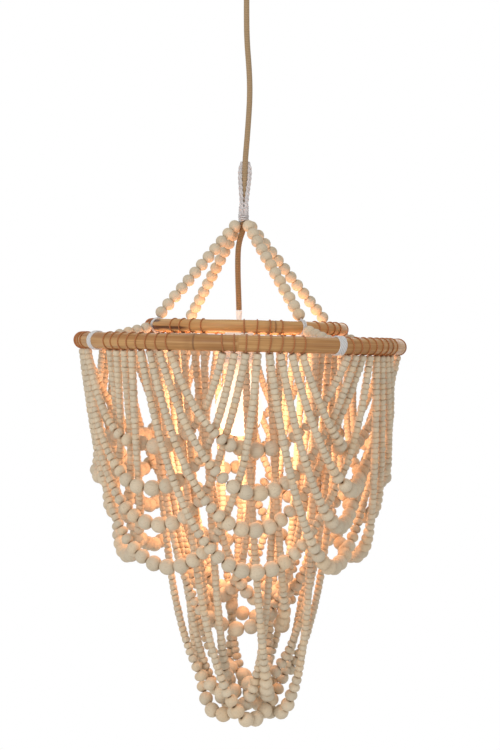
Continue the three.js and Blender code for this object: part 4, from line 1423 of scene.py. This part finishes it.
@dataclass
class Garlands:
    """Both tiers of bead garlands, with the thread that carries them and binds them to the hoops."""

    finishes: Finishes
    thread: float = 0.55
    wrap_thread: float = 0.8
    settling: Settling = field(default_factory=Settling)

    def build(self) -> None:
        """Hangs, settles and dresses all garlands."""
        outer = [[OUTER_TIER.hang(size, g) for size in OUTER_TIER.swags] for g in range(GROUPS)]
        lower = [[LOWER_TIER.hang(size, g) for size in LOWER_TIER.swags] for g in range(GROUPS)]
        every = [swag for nested in outer + lower for swag in nested]
        self.settling.settle_nodes(every)
        self.settling.settle_beads(every)
        LOG.info("%d beads hang in %d swags", sum(len(swag.beads) for swag in every), len(every))
        for g in range(GROUPS):
            self.dress("outer_garland_%d" % (g + 1), OUTER_HOOP, outer[g], 100 + g)
            pair = [lower[g][0], lower[(g + PARTNER_STEP) % GROUPS][1]]
            self.dress("lower_garland_%d" % (g + 1), INNER_HOOP, pair, 200 + g)

    def dress(self, node: str, hoop: Hoop, swags: Sequence[Swag], seed: int) -> None:
        """Builds the beads and the thread of one garland."""
        stringer, shell, threads = BeadStringer(seed), Shell(), Shell()
        for swag in swags:
            spots = hung(swag.beads)
            along = np.gradient(spots, axis=0)
            along /= np.linalg.norm(along, axis=1)[:, None]
            steps = np.linalg.norm(np.diff(spots, axis=0), axis=1)
            before, after = np.append(steps[0], steps), np.append(steps, steps[-1])
            share = swag.diameters / np.convolve(
                np.pad(swag.diameters, 1, "edge"), [0.5, 0, 0.5], "valid"
            )
            lengths = np.minimum(before, after) * np.clip(share, 0.97, 1.03) * 0.985
            stringer.string(shell, spots, along, swag.diameters, lengths)
            ends = [hung(swag.nodes[0] + UP * 0.4), hung(swag.nodes[-1] + UP * 0.4)]
            threads.tube(np.vstack([ends[0], spots, ends[1]]), self.thread, 6)
            for side, end in ((-1.0, ends[0]), (1.0, ends[1])):
                self.wrap(threads, hoop, swag.turn + side * swag.half_turn, end)
        place_piece(shell.object(node + "_beads", self.finishes.bead), Body.FRAME, [node])
        place_piece(threads.object(node + "_thread", self.finishes.thread), Body.FRAME)

    def wrap(self, threads: Shell, hoop: Hoop, turn: float, end: np.ndarray) -> None:
        """Binds one end of a string to the pole with a turn of thread and a small knot."""
        steps = 40
        out, along = outward_at(turn), along_at(turn)
        middle = hoop.place(turn)
        lean = 0.16 * math.sin(turn * 7.0)
        path = []
        for k in range(steps):
            a = TURN * k / steps
            r = hoop.pole + 0.25
            path.append(
                middle + out * r * math.cos(a) + UP * r * math.sin(a) + along * (lean * r * math.sin(a))
            )
        threads.tube(hung(np.array(path)), self.wrap_thread, 8, closed=True, across=along)
        knot = [
            end + (along * math.cos(a) + out * math.sin(a)) * 0.9 + UP * (0.5 * math.cos(2 * a))
            for a in np.arange(8) / 8 * TURN
        ]
        threads.tube(np.array(knot), 0.62, 6, closed=True, across=UP)


@dataclass
class StraightStrings:
    """The four suspension strands from the crown to the inner hoop, and the spokes between the hoops."""

    finishes: Finishes
    beads: int = 12
    start_radius: float = 11.8
    start_drop: float = 6.5
    thread_seat: float = 5.0
    thread_radius: float = 1.1
    diameter: float = 15.4
    spoke_diameter: float = 13.0
    pitch_share: float = 0.89
    neck_share: float = 0.6

    def build(self) -> None:
        """Builds the strands and the spokes."""
        for i, (inner_turn, outer_turn) in enumerate(
            zip(INNER_HOOP.tie_turns(), OUTER_HOOP.tie_turns())
        ):
            self.strand(i, inner_turn)
            self.spoke(i, inner_turn, outer_turn)

    def strand(self, number: int, turn: float) -> None:
        """Builds the strand that stands on top of one of the inner hoop's ties."""
        crown = np.array([CROWN_OFFSET, 0.0, -CROWN_DROP])
        first = crown + outward_at(turn) * self.start_radius - UP * self.start_drop
        inner = INNER_HOOP.tie_place(turn)
        end = inner + UP * (INNER_HOOP.tie_reach() + SEAT_GAP)
        level = math.hypot(end[0] - first[0], end[1] - first[1]) / float(np.linalg.norm(end - first))
        end = end + UP * self.thread_radius * level
        start = first - unit(end - first) * self.diameter * self.pitch_share / 2
        lead = crown + outward_at(turn) * self.thread_seat - UP * 0.6
        tail = inner + UP * INNER_HOOP.pole
        node = "suspension_strand_%d" % (number + 1)
        self.string(node, start, end, self.beads, self.diameter, lead, tail, 300 + number)

    def spoke(self, number: int, inner_turn: float, outer_turn: float) -> None:
        """Builds the string of beads between a tie of the inner hoop and one of the outer hoop."""
        inner, outer = INNER_HOOP.tie_place(inner_turn), OUTER_HOOP.tie_place(outer_turn)
        across = unit(outer - inner)

        def stand_off(hoop: Hoop, turn: float) -> float:
            """Returns the length of bare cord beside a tie."""
            slant = abs(float(np.dot(across, along_at(turn))))
            clear = hoop.tie_reach() / math.cos(math.pi / 8) + SEAT_GAP
            neck = self.spoke_diameter / 2 * self.neck_share * slant
            return (clear + neck) / math.sqrt(1.0 - slant * slant)

        start = inner + across * stand_off(INNER_HOOP, inner_turn)
        end = outer - across * stand_off(OUTER_HOOP, outer_turn)
        length = float(np.linalg.norm(end - start))
        count = round(length / (self.spoke_diameter * self.pitch_share))
        node = "spoke_strand_%d" % (number + 1)
        self.string(
            node, start, end, count, length / count / self.pitch_share, inner, outer, 320 + number
        )

    def string(
        self, node: str, start: np.ndarray, end: np.ndarray, count: int, diameter: float,
        lead: np.ndarray, tail: np.ndarray, seed: int,
    ) -> None:
        """Builds one straight string of beads with its white cord."""
        spots = hung(np.array([start + (end - start) * (i + 0.5) / count for i in range(count)]))
        along = np.tile(unit(spots[-1] - spots[0]), (count, 1))
        pitch = float(np.linalg.norm(spots[1] - spots[0]))
        shell = Shell()
        BeadStringer(seed).string(
            shell, spots, along, np.full(count, diameter), np.full(count, pitch * 0.99)
        )
        place_piece(shell.object(node + "_beads", self.finishes.bead), Body.FRAME, [node])
        cord = Shell()
        path = np.vstack([hung(np.array([lead, start])), spots, hung(np.array([end, tail]))])
        cord.tube(path, 1.05, 10)
        place_piece(cord.object(node + "_cord", self.finishes.tie), Body.FRAME)


@dataclass
class Ties:
    """White cord wound round both poles where the strands and spokes are tied on."""

    finishes: Finishes
    cord: float = 0.95

    def build(self) -> None:
        """Builds the eight ties."""
        for prefix, hoop in (("inner_tie_", INNER_HOOP), ("outer_tie_", OUTER_HOOP)):
            for i, turn in enumerate(hoop.tie_turns()):
                self.tie(prefix + str(i + 1), hoop, turn, i)

    def tie(self, node: str, hoop: Hoop, turn: float, number: int) -> None:
        """Winds one tie round a pole, with its knot on the side that faces the middle."""
        out, along = outward_at(turn), along_at(turn)
        middle = hoop.tie_place(turn)
        width = hoop.tie_width - 2 * self.cord
        turns = round(width / (1.9 * self.cord))
        steps = 36 * turns
        path = []
        for k in range(steps + 1):
            share = k / steps
            a = math.pi + TURN * turns * share
            r = hoop.pole + self.cord * 0.85 + 0.1 * math.sin(5.0 * a + number)
            walk = (share - 0.5) * width
            lean = 0.08 * r * math.sin(a)
            path.append(middle + out * r * math.cos(a) + UP * r * math.sin(a) + along * (walk + lean))
        shell = Shell()
        shell.tube(hung(np.array(path)), self.cord, 12)
        seat = middle - out * (hoop.pole + self.cord * 1.9) + UP * 1.0
        knot = []
        for k in range(32):
            a = TURN * k / 32
            knot.append(
                seat + along * (2.4 * math.sin(a) + 0.9 * math.sin(2 * a)) + UP * (2.2 * math.cos(a))
                - out * (0.8 * math.sin(3 * a))
            )
        shell.tube(hung(np.array(knot)), self.cord * 0.9, 10, closed=True)
        place_piece(
            shell.object(node + "_cord", self.finishes.tie), Body.FRAME, [node]
        )


@dataclass
class CrownRope:
    """White rope knotted onto the supply cord: two braided strands and the bound bundle below them."""

    finishes: Finishes
    top_drop: float = 262.0
    strand: float = 1.5
    bore: float = 3.7

    def build(self) -> None:
        """Builds the rope and puts it over the cord."""
        shell = Shell()
        length = CROWN_DROP - self.top_drop
        for side in (-1.0, 1.0):
            self.braid(shell, side, length)
        self.bind(shell)
        lean = math.atan2(-1.6 + 4.0, -262.0 + 337.0)
        turn = Matrix.Rotation(lean, 3, "Y")
        spin = np.array([list(row) for row in turn])
        middle = np.array([CROWN_OFFSET, 0.0, -CROWN_DROP])
        shell.points = [points @ spin.T + middle for points in shell.points]
        place_piece(
            shell.object("knotted_crown_rope", self.finishes.rope), Body.CORD,
            ["crown_rope"]
        )

    def braid(self, shell: Shell, side: float, length: float) -> None:
        """Adds one flat braid: beside the cord at the top, and in front of it further down."""
        low, high = 7.0, length - 1.0
        reach = high - low
        steps = 160
        for phase in range(3):
            path: list[tuple[float, float, float]] = []
            thick: list[float] = []
            for k in range(steps + 1):
                share = k / steps
                a = TURN * (share * reach / 20.0 + phase / 3.0)
                apart = min(1.0, max(0.0, (share - 0.12) / 0.7))
                apart = apart * apart * (3.0 - 2.0 * apart)
                top = max(0.0, share - 0.8) / 0.2
                x = side * (2.75 + 3.25 * apart - 2.4 * top * top + 1.25 * math.sin(a))
                y = -5.4 * (1.0 - apart) ** 0.6 + 2.2 * top * top + 0.8 * math.sin(2 * a)
                path.append((x, y, low + reach * share))
                thick.append(self.strand + 0.28 * math.sin(3 * a + 1.0) - 0.5 * top * top)
            shell.tube(np.array(path), np.array(thick), 10)

    def bind(self, shell: Shell) -> None:
        """Adds the knots and turns of the bundle."""
        for start, turns, rise, swell in ((0.6, 4.0, 9.0, 0.0), (9.5, 4.0, 9.0, 0.1)):
            path = []
            steps = int(turns * 28)
            for k in range(steps + 1):
                share = k / steps
                a = TURN * turns * share
                r = self.bore + 1.3 + swell + 0.45 * math.sin(2 * a + start) + 0.2 * math.sin(5 * a)
                z = start + rise * share + 0.9 * math.sin(a)
                path.append((r * math.cos(a), r * math.sin(a), z))
            shell.tube(np.array(path), 1.2, 10)
        for tilt, z in ((0.3, 4.0), (-0.35, 7.5)):
            ring = []
            for k in range(36):
                a = TURN * k / 36
                r = self.bore + 2.1 - 1.3 * math.sin(a)
                ring.append((r * math.cos(a), r * math.sin(a), z + r * tilt * math.cos(a + z)))
            shell.tube(np.array(ring), 1.0, 10, closed=True)


# ---- Lamp ----

LAMP_OFFSET = -9.5


@dataclass
class Lamp:
    """The lampholder on the lead, and the lit bulb in it."""

    finishes: Finishes
    sleeve_top: float = -448.0
    sleeve_length: float = 18.0
    sleeve_radius: float = 4.0
    radius: float = 19.5
    cap_height: float = 20.0
    body_height: float = 36.0
    wall: float = 2.0
    glass_radius: float = 30.0
    glass_height: float = 85.0
    neck_radius: float = 14.5
    glow_colour: tuple[float, float, float] = (1.0, 0.51, 0.30)
    glows: tuple[tuple[str, float, float, float], ...] = (
        ("bulb_light", 0.0, 24.0, 0.75),
        ("scattered_glow", -45.0, 130.0, 3.7),
    )

    def piece(
        self, name: str, shell: Shell, body: Body, slot: Slot, node: str, look: bpy.types.Material
    ) -> None:
        """Finishes one turned piece."""
        place_piece(shell.object(name, look, weld=True), body, [node])

    def build(self) -> None:
        """Builds the sleeve, the lampholder and the bulb."""
        looks = self.finishes
        at = (LAMP_OFFSET, 0.0)
        foot = self.sleeve_top - self.sleeve_length
        sleeve = Shell()
        r = self.sleeve_radius
        sleeve.turned(
            [(0, self.sleeve_top), (r - 0.6, self.sleeve_top), (r - 0.1, self.sleeve_top - 0.8),
             (r - 0.2, self.sleeve_top - 3.5), (r - 1.3, foot + 3.5), (r - 1.1, foot + 0.5),
             (r - 1.4, foot),
             (0, foot)], 32, at)
        self.piece("lead_sleeve_pale", sleeve, Body.LAMP, Slot.PLASTIC, "lead_sleeve", looks.plastic)

        top = foot - SEAT_GAP
        low = top - self.cap_height
        cap = Shell()
        big = self.radius
        cap.turned(
            [
                (0, top), (5.2, top), (6.0, top - 0.8), (6.3, top - 2.2), (9.5, top - 3.2),
                (13.4, top - 5.0),
             (16.6, top - 8.0), (18.6, top - 11.5), (big, top - 14.5), (big, low + 0.5),
             (big - 0.5, low),
             (big - self.wall, low), (big - self.wall, low + 6), (0, low + 9)], 64, at,
            ripple=lambda a, z: -0.18 * (np.abs(z - (low + 2.6)) < 2.2) * (np.cos(a * 32) > 0.2))
        self.piece("holder_cap_domed", cap, Body.LAMP, Slot.PLASTIC, "holder_cap", looks.plastic)

        body_top = low - SEAT_GAP
        body_low = body_top - self.body_height
        body = Shell()
        profile: list[tuple[float, float]] = [
            (big - self.wall, body_top), (big, body_top), (big, body_top - 10.0)
        ]
        turns, pitch = 6, 3.2
        for k in range(turns):
            z = body_top - 11.0 - k * pitch
            profile += [(big, z), (big, z - 0.9), (big - 0.9, z - 1.5), (big - 0.9, z - 2.5)]
        profile += [
            (big, body_low + 4), (big, body_low + 0.5), (big - 0.5, body_low),
            (big - self.wall, body_low)
        ]
        body.turned(profile, 64, at)
        self.piece("holder_body_threaded", body, Body.LAMP, Slot.PLASTIC, "holder_body", looks.plastic)

        bore = (big + SEAT_GAP) / math.cos(math.pi / 12)
        ring_low = body_low + 5.0
        ring = Shell()
        ring.turned(
            [
                (bore, ring_low), (bore + 2.8, ring_low), (bore + 3.4, ring_low + 0.8),
                (bore + 3.4, ring_low + 8.2),
             (bore + 2.8, ring_low + 9), (bore, ring_low + 9)], 96, at,
            ripple=lambda a, z: -0.35 * (np.cos(a * 24) > 0.3) * (np.abs(z - ring_low - 4.5) < 3.9))
        self.piece("shade_ring_ribbed", ring, Body.LAMP, Slot.PLASTIC, "holder_ring", looks.plastic)

        insert = Shell()
        wide = (big - self.wall) * math.cos(math.pi / 12) - SEAT_GAP
        insert.turned(
            [(0, body_top), (wide - 0.6, body_top), (wide, body_top - 0.6), (wide, body_top - 7.4),
             (wide - 0.6, body_top - 8), (6, body_top - 8), (5.6, body_top - 7.2),
             (0, body_top - 7.2)], 48, at)
        self.piece(
            "contact_insert_moulded", insert, Body.LAMP, Slot.PLASTIC, "contact_insert", looks.plastic
        )

        shell_top = body_top - 8.0 - SEAT_GAP
        socket = Shell()
        wave = [(14.75 + 0.35 * math.sin(TURN * k / 8), shell_top - 24.0 * k / 48) for k in range(49)]
        socket.turned(
            [(r + 0.35, z) for r, z in wave] + [(r - 0.15, z) for r, z in reversed(wave)], 48, at
        )
        self.piece("screw_shell_rolled", socket, Body.LAMP, Slot.BRASS, "screw_shell", looks.brass)
        self.build_bulb(shell_top, at)

    def build_bulb(self, top: float, at: tuple[float, float]) -> None:
        """Builds the bulb's cap and glass."""
        looks = self.finishes
        end = top - 25.0
        cap = Shell()
        rolled = [(12.75 + 0.4 * math.sin(TURN * k / 8), top - 5.0 - 17.5 * k / 40) for k in range(41)]
        cap.turned(
            [
                (0, top), (3.6, top), (4.8, top - 0.7), (5.0, top - 1.4), (8.6, top - 2.4),
                (11.6, top - 3.4),
            ] + rolled
            + [(13.15, end + 1.6), (13.15, end), (12.5, end), (12.4, top - 4.2), (0, top - 3.9)], 48,
            at)
        self.piece("bulb_cap_screwed", cap, Body.BULB, Slot.ZINC, "bulb_cap", looks.zinc)
        glass_top = end - SEAT_GAP
        belly = glass_top - self.glass_height * 0.62
        low_height = self.glass_height * 0.38
        outside: list[tuple[float, float]] = []
        marks: list[float] = []
        for k in range(25):
            share = k / 24
            ease = (1 - math.cos(math.pi * share)) / 2
            outside.append((self.neck_radius + (self.glass_radius - self.neck_radius) * ease,
                            glass_top - (glass_top - belly) * share))
            marks.append(max(0.0, 1.0 - share * 3.0))
        for k in range(1, 25):
            a = math.pi / 2 * k / 24
            outside.append((self.glass_radius * math.cos(a), belly - low_height * math.sin(a)))
            marks.append(0.0)
        outside[-1] = (0.0, outside[-1][1])
        inner = [(max(r - 0.9, 0.0), z + (0.9 if z < belly else 0.0)) for r, z in outside]
        bulb = Shell()
        bulb.turned(
            list(reversed(inner)) + outside, 64, at, mark=list(reversed(marks)) + marks)
        glass = bulb.object("bulb_glass_lit", looks.glass, weld=True)
        place_piece(glass, Body.BULB, ["bulb_glass"])
        glass.visible_shadow = False
        self.light_bulb(glass, belly)

    def light_bulb(self, glass: bpy.types.Object, height: float) -> None:
        """Lights the bulb: its own light and the glow between the strings, which move with its glass."""
        for name, rise, radius, power in self.glows:
            data = bpy.data.lights.new(name, "POINT")
            data.energy = power
            data.color = self.glow_colour
            data.shadow_soft_size = radius * MM
            lamp = bpy.data.objects.new(name, data)
            bpy.context.scene.collection.objects.link(lamp)
            lamp.parent = glass
            lamp.location = (LAMP_OFFSET * MM, 0.0, (height + rise) * MM)


# ---- Ceiling rose ----


@dataclass
class CeilingRose:
    """The painted rose with its crossbar, studs, cap nuts, cord grip and terminal block."""

    finishes: Finishes
    radius: float = 55.0
    depth: float = 30.0
    wall: float = 1.5
    shoulder: float = 14.0
    flat: float = 40.0
    stud_spacing: float = 56.0
    stud_radius: float = 2.0
    grip_stem: float = 5.0

    def finish(
        self, name: str, shell: Shell, nodes: Sequence[str], look: bpy.types.Material
    ) -> None:
        """Finishes one piece of the rose."""
        place_piece(shell.object(name, look, weld=True), Body.CEILING, nodes)

    def build(self) -> None:
        """Builds the rose and what it covers."""
        looks = self.finishes
        self.build_shell(looks)
        self.build_crossbar(looks)
        for side, x in (("left", -self.stud_spacing / 2), ("right", self.stud_spacing / 2)):
            self.build_fixing(looks, side, x)
        self.build_grip(looks)
        self.build_terminal(looks)

    def build_shell(self, looks: Finishes) -> None:
        """Spins the rose's shell with a rolled rim and the hole for the cord grip."""
        hole = self.grip_stem + SEAT_GAP
        w = self.wall
        outer = [(hole, -self.depth), (self.flat - 6, -self.depth)]
        for k in range(0, 13):
            a = math.pi / 2 * k / 12
            outer.append((self.flat - 6 + (self.radius - self.flat + 6) * math.sin(a),
                          -self.shoulder - (self.depth - self.shoulder) * math.cos(a)))
        outer += [
            (self.radius, -2.2), (self.radius, -1.2), (self.radius - 0.2, -0.4),
            (self.radius - 0.7, 0.0)
        ]
        inner = [(self.radius - w, 0.0), (self.radius - w, -self.shoulder)]
        for k in range(11, -1, -1):
            a = math.pi / 2 * k / 12
            inner.append((self.flat - 6 + (self.radius - w - self.flat + 6) * math.sin(a),
                          -self.shoulder - (self.depth - w - self.shoulder) * math.cos(a)))
        inner.append((hole, w - self.depth))
        shell = Shell()
        shell.turned(outer + inner, 120)
        self.finish("rose_shell_spun", shell, ["ceiling_rose"], looks.paint)

    def build_crossbar(self, looks: Finishes) -> None:
        """Builds the crossbar's plate with round ends and two slots."""
        import bmesh

        length, width, thickness, slot_length, slot_width, spacing = 98.0, 16.0, 2.0, 10.0, 4.6, 80.0
        curve = bpy.data.curves.new("crossbar_outline", "CURVE")
        curve.dimensions = "2D"
        curve.fill_mode = "BOTH"

        def outline(x: float, half_run: float, radius: float, steps: int) -> None:
            """Adds a closed outline with round ends to the plate."""
            spline = curve.splines.new("POLY")
            spots = []
            for k in range(steps + 1):
                a = -math.pi / 2 + math.pi * k / steps
                spots.append((x + half_run + radius * math.cos(a), radius * math.sin(a)))
            for k in range(steps + 1):
                a = math.pi / 2 + math.pi * k / steps
                spots.append((x - half_run + radius * math.cos(a), radius * math.sin(a)))
            spline.points.add(len(spots) - 1)
            for point, (px, py) in zip(spline.points, spots):
                point.co = (px * MM, py * MM, 0.0, 1.0)
            spline.use_cyclic_u = True

        outline(0.0, (length - width) / 2, width / 2 - 0.3, 16)
        for side in (-1.0, 1.0):
            outline(side * spacing / 2, (slot_length - slot_width) / 2, slot_width / 2 + 0.3, 8)
            outline(side * self.stud_spacing / 2, 0.0, self.stud_radius + SEAT_GAP + 0.3, 8)
        curve.extrude = (thickness / 2 - 0.3) * MM
        curve.bevel_depth = 0.3 * MM
        curve.bevel_resolution = 2
        holder = bpy.data.objects.new("crossbar_outline", curve)
        bpy.context.scene.collection.objects.link(holder)
        holder.location.z = -thickness / 2 * MM
        bpy.context.view_layer.update()
        mesh = bpy.data.meshes.new_from_object(
            holder.evaluated_get(bpy.context.evaluated_depsgraph_get())
        )
        mesh.transform(holder.matrix_world)
        bpy.data.objects.remove(holder)
        bpy.data.curves.remove(curve)
        work = bmesh.new()
        work.from_mesh(mesh)
        bmesh.ops.remove_doubles(work, verts=work.verts, dist=1e-6)
        work.to_mesh(mesh)
        work.free()
        spots = np.empty(len(mesh.vertices) * 3)
        mesh.vertices.foreach_get("co", spots)
        mesh.attributes.new("place", "FLOAT_VECTOR", "POINT").data.foreach_set("vector", spots)
        mesh.materials.clear()
        mesh.materials.append(looks.zinc)
        piece = bpy.data.objects.new("crossbar_pressed", mesh)
        bpy.context.scene.collection.objects.link(piece)
        place_piece(piece, Body.CEILING, ["ceiling_crossbar"])

    def build_fixing(self, looks: Finishes, side: str, x: float) -> None:
        """Builds one stud with its collar and cap nut."""
        at = (x, 0.0)
        r = self.stud_radius
        tail = -self.depth - 7.0
        stud = Shell()
        rounds = [
            (r - (0.28 if k % 2 else 0.0), -5.5 - 0.35 * k) for k in range(int((-5.5 - tail) / 0.35))
        ]
        stud.turned(
            [(0, -SEAT_GAP), (r, -SEAT_GAP), (r, -2.3), (3.4, -2.3), (3.8, -2.7), (3.8, -4.9),
             (3.4, -5.3), (r, -5.3)] + rounds + [(r - 0.5, tail), (0, tail)], 24, at)
        self.finish("stud_threaded_" + side, stud, ["rose_stud_" + side], looks.zinc)
        nut = Shell()
        top = -self.depth - SEAT_GAP
        bore = tail - SEAT_GAP
        nut_edge, nut_shoulder, nut_rise, nut_steps = 4.6, 6.0, 4.0, 10
        dome = []
        for k in range(nut_steps + 1):
            slope = math.pi / 2 * k / nut_steps
            dome.append((nut_edge * math.cos(slope), top - nut_shoulder - nut_rise * math.sin(slope)))
        dome[-1] = (0.0, dome[-1][1])
        nut.turned(
            [
                (0, bore), (r + SEAT_GAP, bore), (r + SEAT_GAP, top), (4.2, top), (4.6, top - 0.5),
                (4.6, top - 1.6),
             (4.3, top - 2.0), (4.3, top - 2.4), (4.6, top - 2.8)] + dome, 32, at,
            ripple=lambda a, z: -0.15 * (np.cos(a * 20) > 0.2) * ((z < top - 2.9) & (z > top - 6.2)))
        self.finish("cap_nut_domed_" + side, nut, ["cap_nut_" + side], looks.brass)

    def build_grip(self, looks: Finishes) -> None:
        """Builds the tapered cord grip, its nut and the cord's tail inside the rose."""
        top = -self.depth - SEAT_GAP
        stem = self.grip_stem
        grip = Shell()
        profile: list[tuple[float, float]] = [
            (0, top + 8.0), (stem, top + 8.0), (stem, top), (7.6, top), (8.0, top - 0.5)
        ]
        profile += [(8.0, top - 2.6), (7.4, top - 3.0), (5.4, top - 3.2)]
        foot = top - 3.0 - 20.0 + SEAT_GAP
        ribs = 7
        for k in range(ribs):
            z0 = top - 3.6 - k * 2.7
            r0 = 5.3 - 0.85 * k / (ribs - 1)
            profile += [(r0, z0), (r0, z0 - 1.5), (r0 - 0.5, z0 - 1.8), (r0 - 0.5, z0 - 2.4)]
        profile += [(4.4, foot + 1.5), (4.1, foot + 1.0), (2.0, foot + 0.45), (0, foot)]
        grip.turned(profile, 40)
        self.finish("cord_grip_ribbed", grip, ["cord_grip"], looks.plastic)
        nut = Shell()
        low = self.wall - self.depth + SEAT_GAP
        bore = (stem + SEAT_GAP) / math.cos(math.pi / 12)
        nut.turned(
            [(bore, low), (8.2, low), (8.5, low + 0.3), (8.5, low + 3.7), (8.2, low + 4),
             (bore, low + 4)], 48,
            ripple=lambda a, z: -0.25 * (np.cos(a * 16) > 0.3) * (np.abs(z - low - 2) < 1.9))
        self.finish("grip_nut_ribbed", nut, ["grip_nut"], looks.plastic)
        tail = Shell()
        high, low_end = -2.3 - 9.0 - SEAT_GAP, top + 8.0 + SEAT_GAP
        tail.tube(
            np.array([(0, 0, low_end + (high - low_end) * k / 8) for k in range(9)], dtype=float), 3.0,
            24
        )
        piece = tail.object("cord_tail_woven", looks.woven)
        place_piece(piece, Body.CEILING, ["inner_cord_tail"])

    def build_terminal(self, looks: Finishes) -> None:
        """Builds the terminal block: three moulded blocks with screw wells."""
        import bmesh

        top, height, width, length = -2.3, 9.0, 12.0, 26.0
        work = bmesh.new()
        bmesh.ops.create_cube(work, size=1.0)
        for vert in work.verts:
            x, y, z = vert.co
            vert.co = Vector((x * length, y * width, z * height + top - height / 2)) * MM
        seam, wall, step, well_depth, soft_edge = 4.4, 1.6, 0.5, 1.2, 0.35
        for across in (-seam, seam):
            bmesh.ops.bisect_plane(
                work, geom=work.verts[:] + work.edges[:] + work.faces[:],
                plane_co=(across * MM, 0, 0), plane_no=(1, 0, 0),
            )
        tops = [face for face in work.faces if abs(face.normal.z) > 0.9]
        bmesh.ops.inset_individual(work, faces=tops, thickness=wall * MM, depth=0.0)
        wells = [face for face in tops if face.is_valid]
        bmesh.ops.inset_individual(work, faces=wells, thickness=step * MM, depth=-well_depth * MM)
        sharp = [e for e in work.edges if e.is_manifold and e.calc_face_angle(0.0) > 1.0]
        bmesh.ops.bevel(
            work, geom=sharp, offset=soft_edge * MM, segments=2, affect="EDGES", clamp_overlap=True
        )
        mesh = bpy.data.meshes.new("terminal_block_moulded")
        work.to_mesh(mesh)
        work.free()
        spots = np.empty(len(mesh.vertices) * 3)
        mesh.vertices.foreach_get("co", spots)
        mesh.attributes.new("place", "FLOAT_VECTOR", "POINT").data.foreach_set("vector", spots)
        mesh.materials.append(looks.plastic)
        piece = bpy.data.objects.new("terminal_block_moulded", mesh)
        bpy.context.scene.collection.objects.link(piece)
        place_piece(piece, Body.CEILING, ["terminal_block"])


def main() -> None:
    """Loads the frame and builds the chandelier round it."""
    logging.basicConfig(level=logging.INFO, format="%(name)s: %(message)s")
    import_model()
    PhotoCamera().build()
    finishes = Finishes()
    HangingCord(finishes).build()
    Room().build()
    CeilingRose(finishes).build()
    CrownRope(finishes).build()
    INNER_HOOP.build(finishes.pale_bamboo)
    OUTER_HOOP.build(finishes.bamboo)
    Ties(finishes).build()
    StraightStrings(finishes).build()
    Garlands(finishes).build()
    Lamp(finishes).build()


if __name__ == "__main__":
    main()
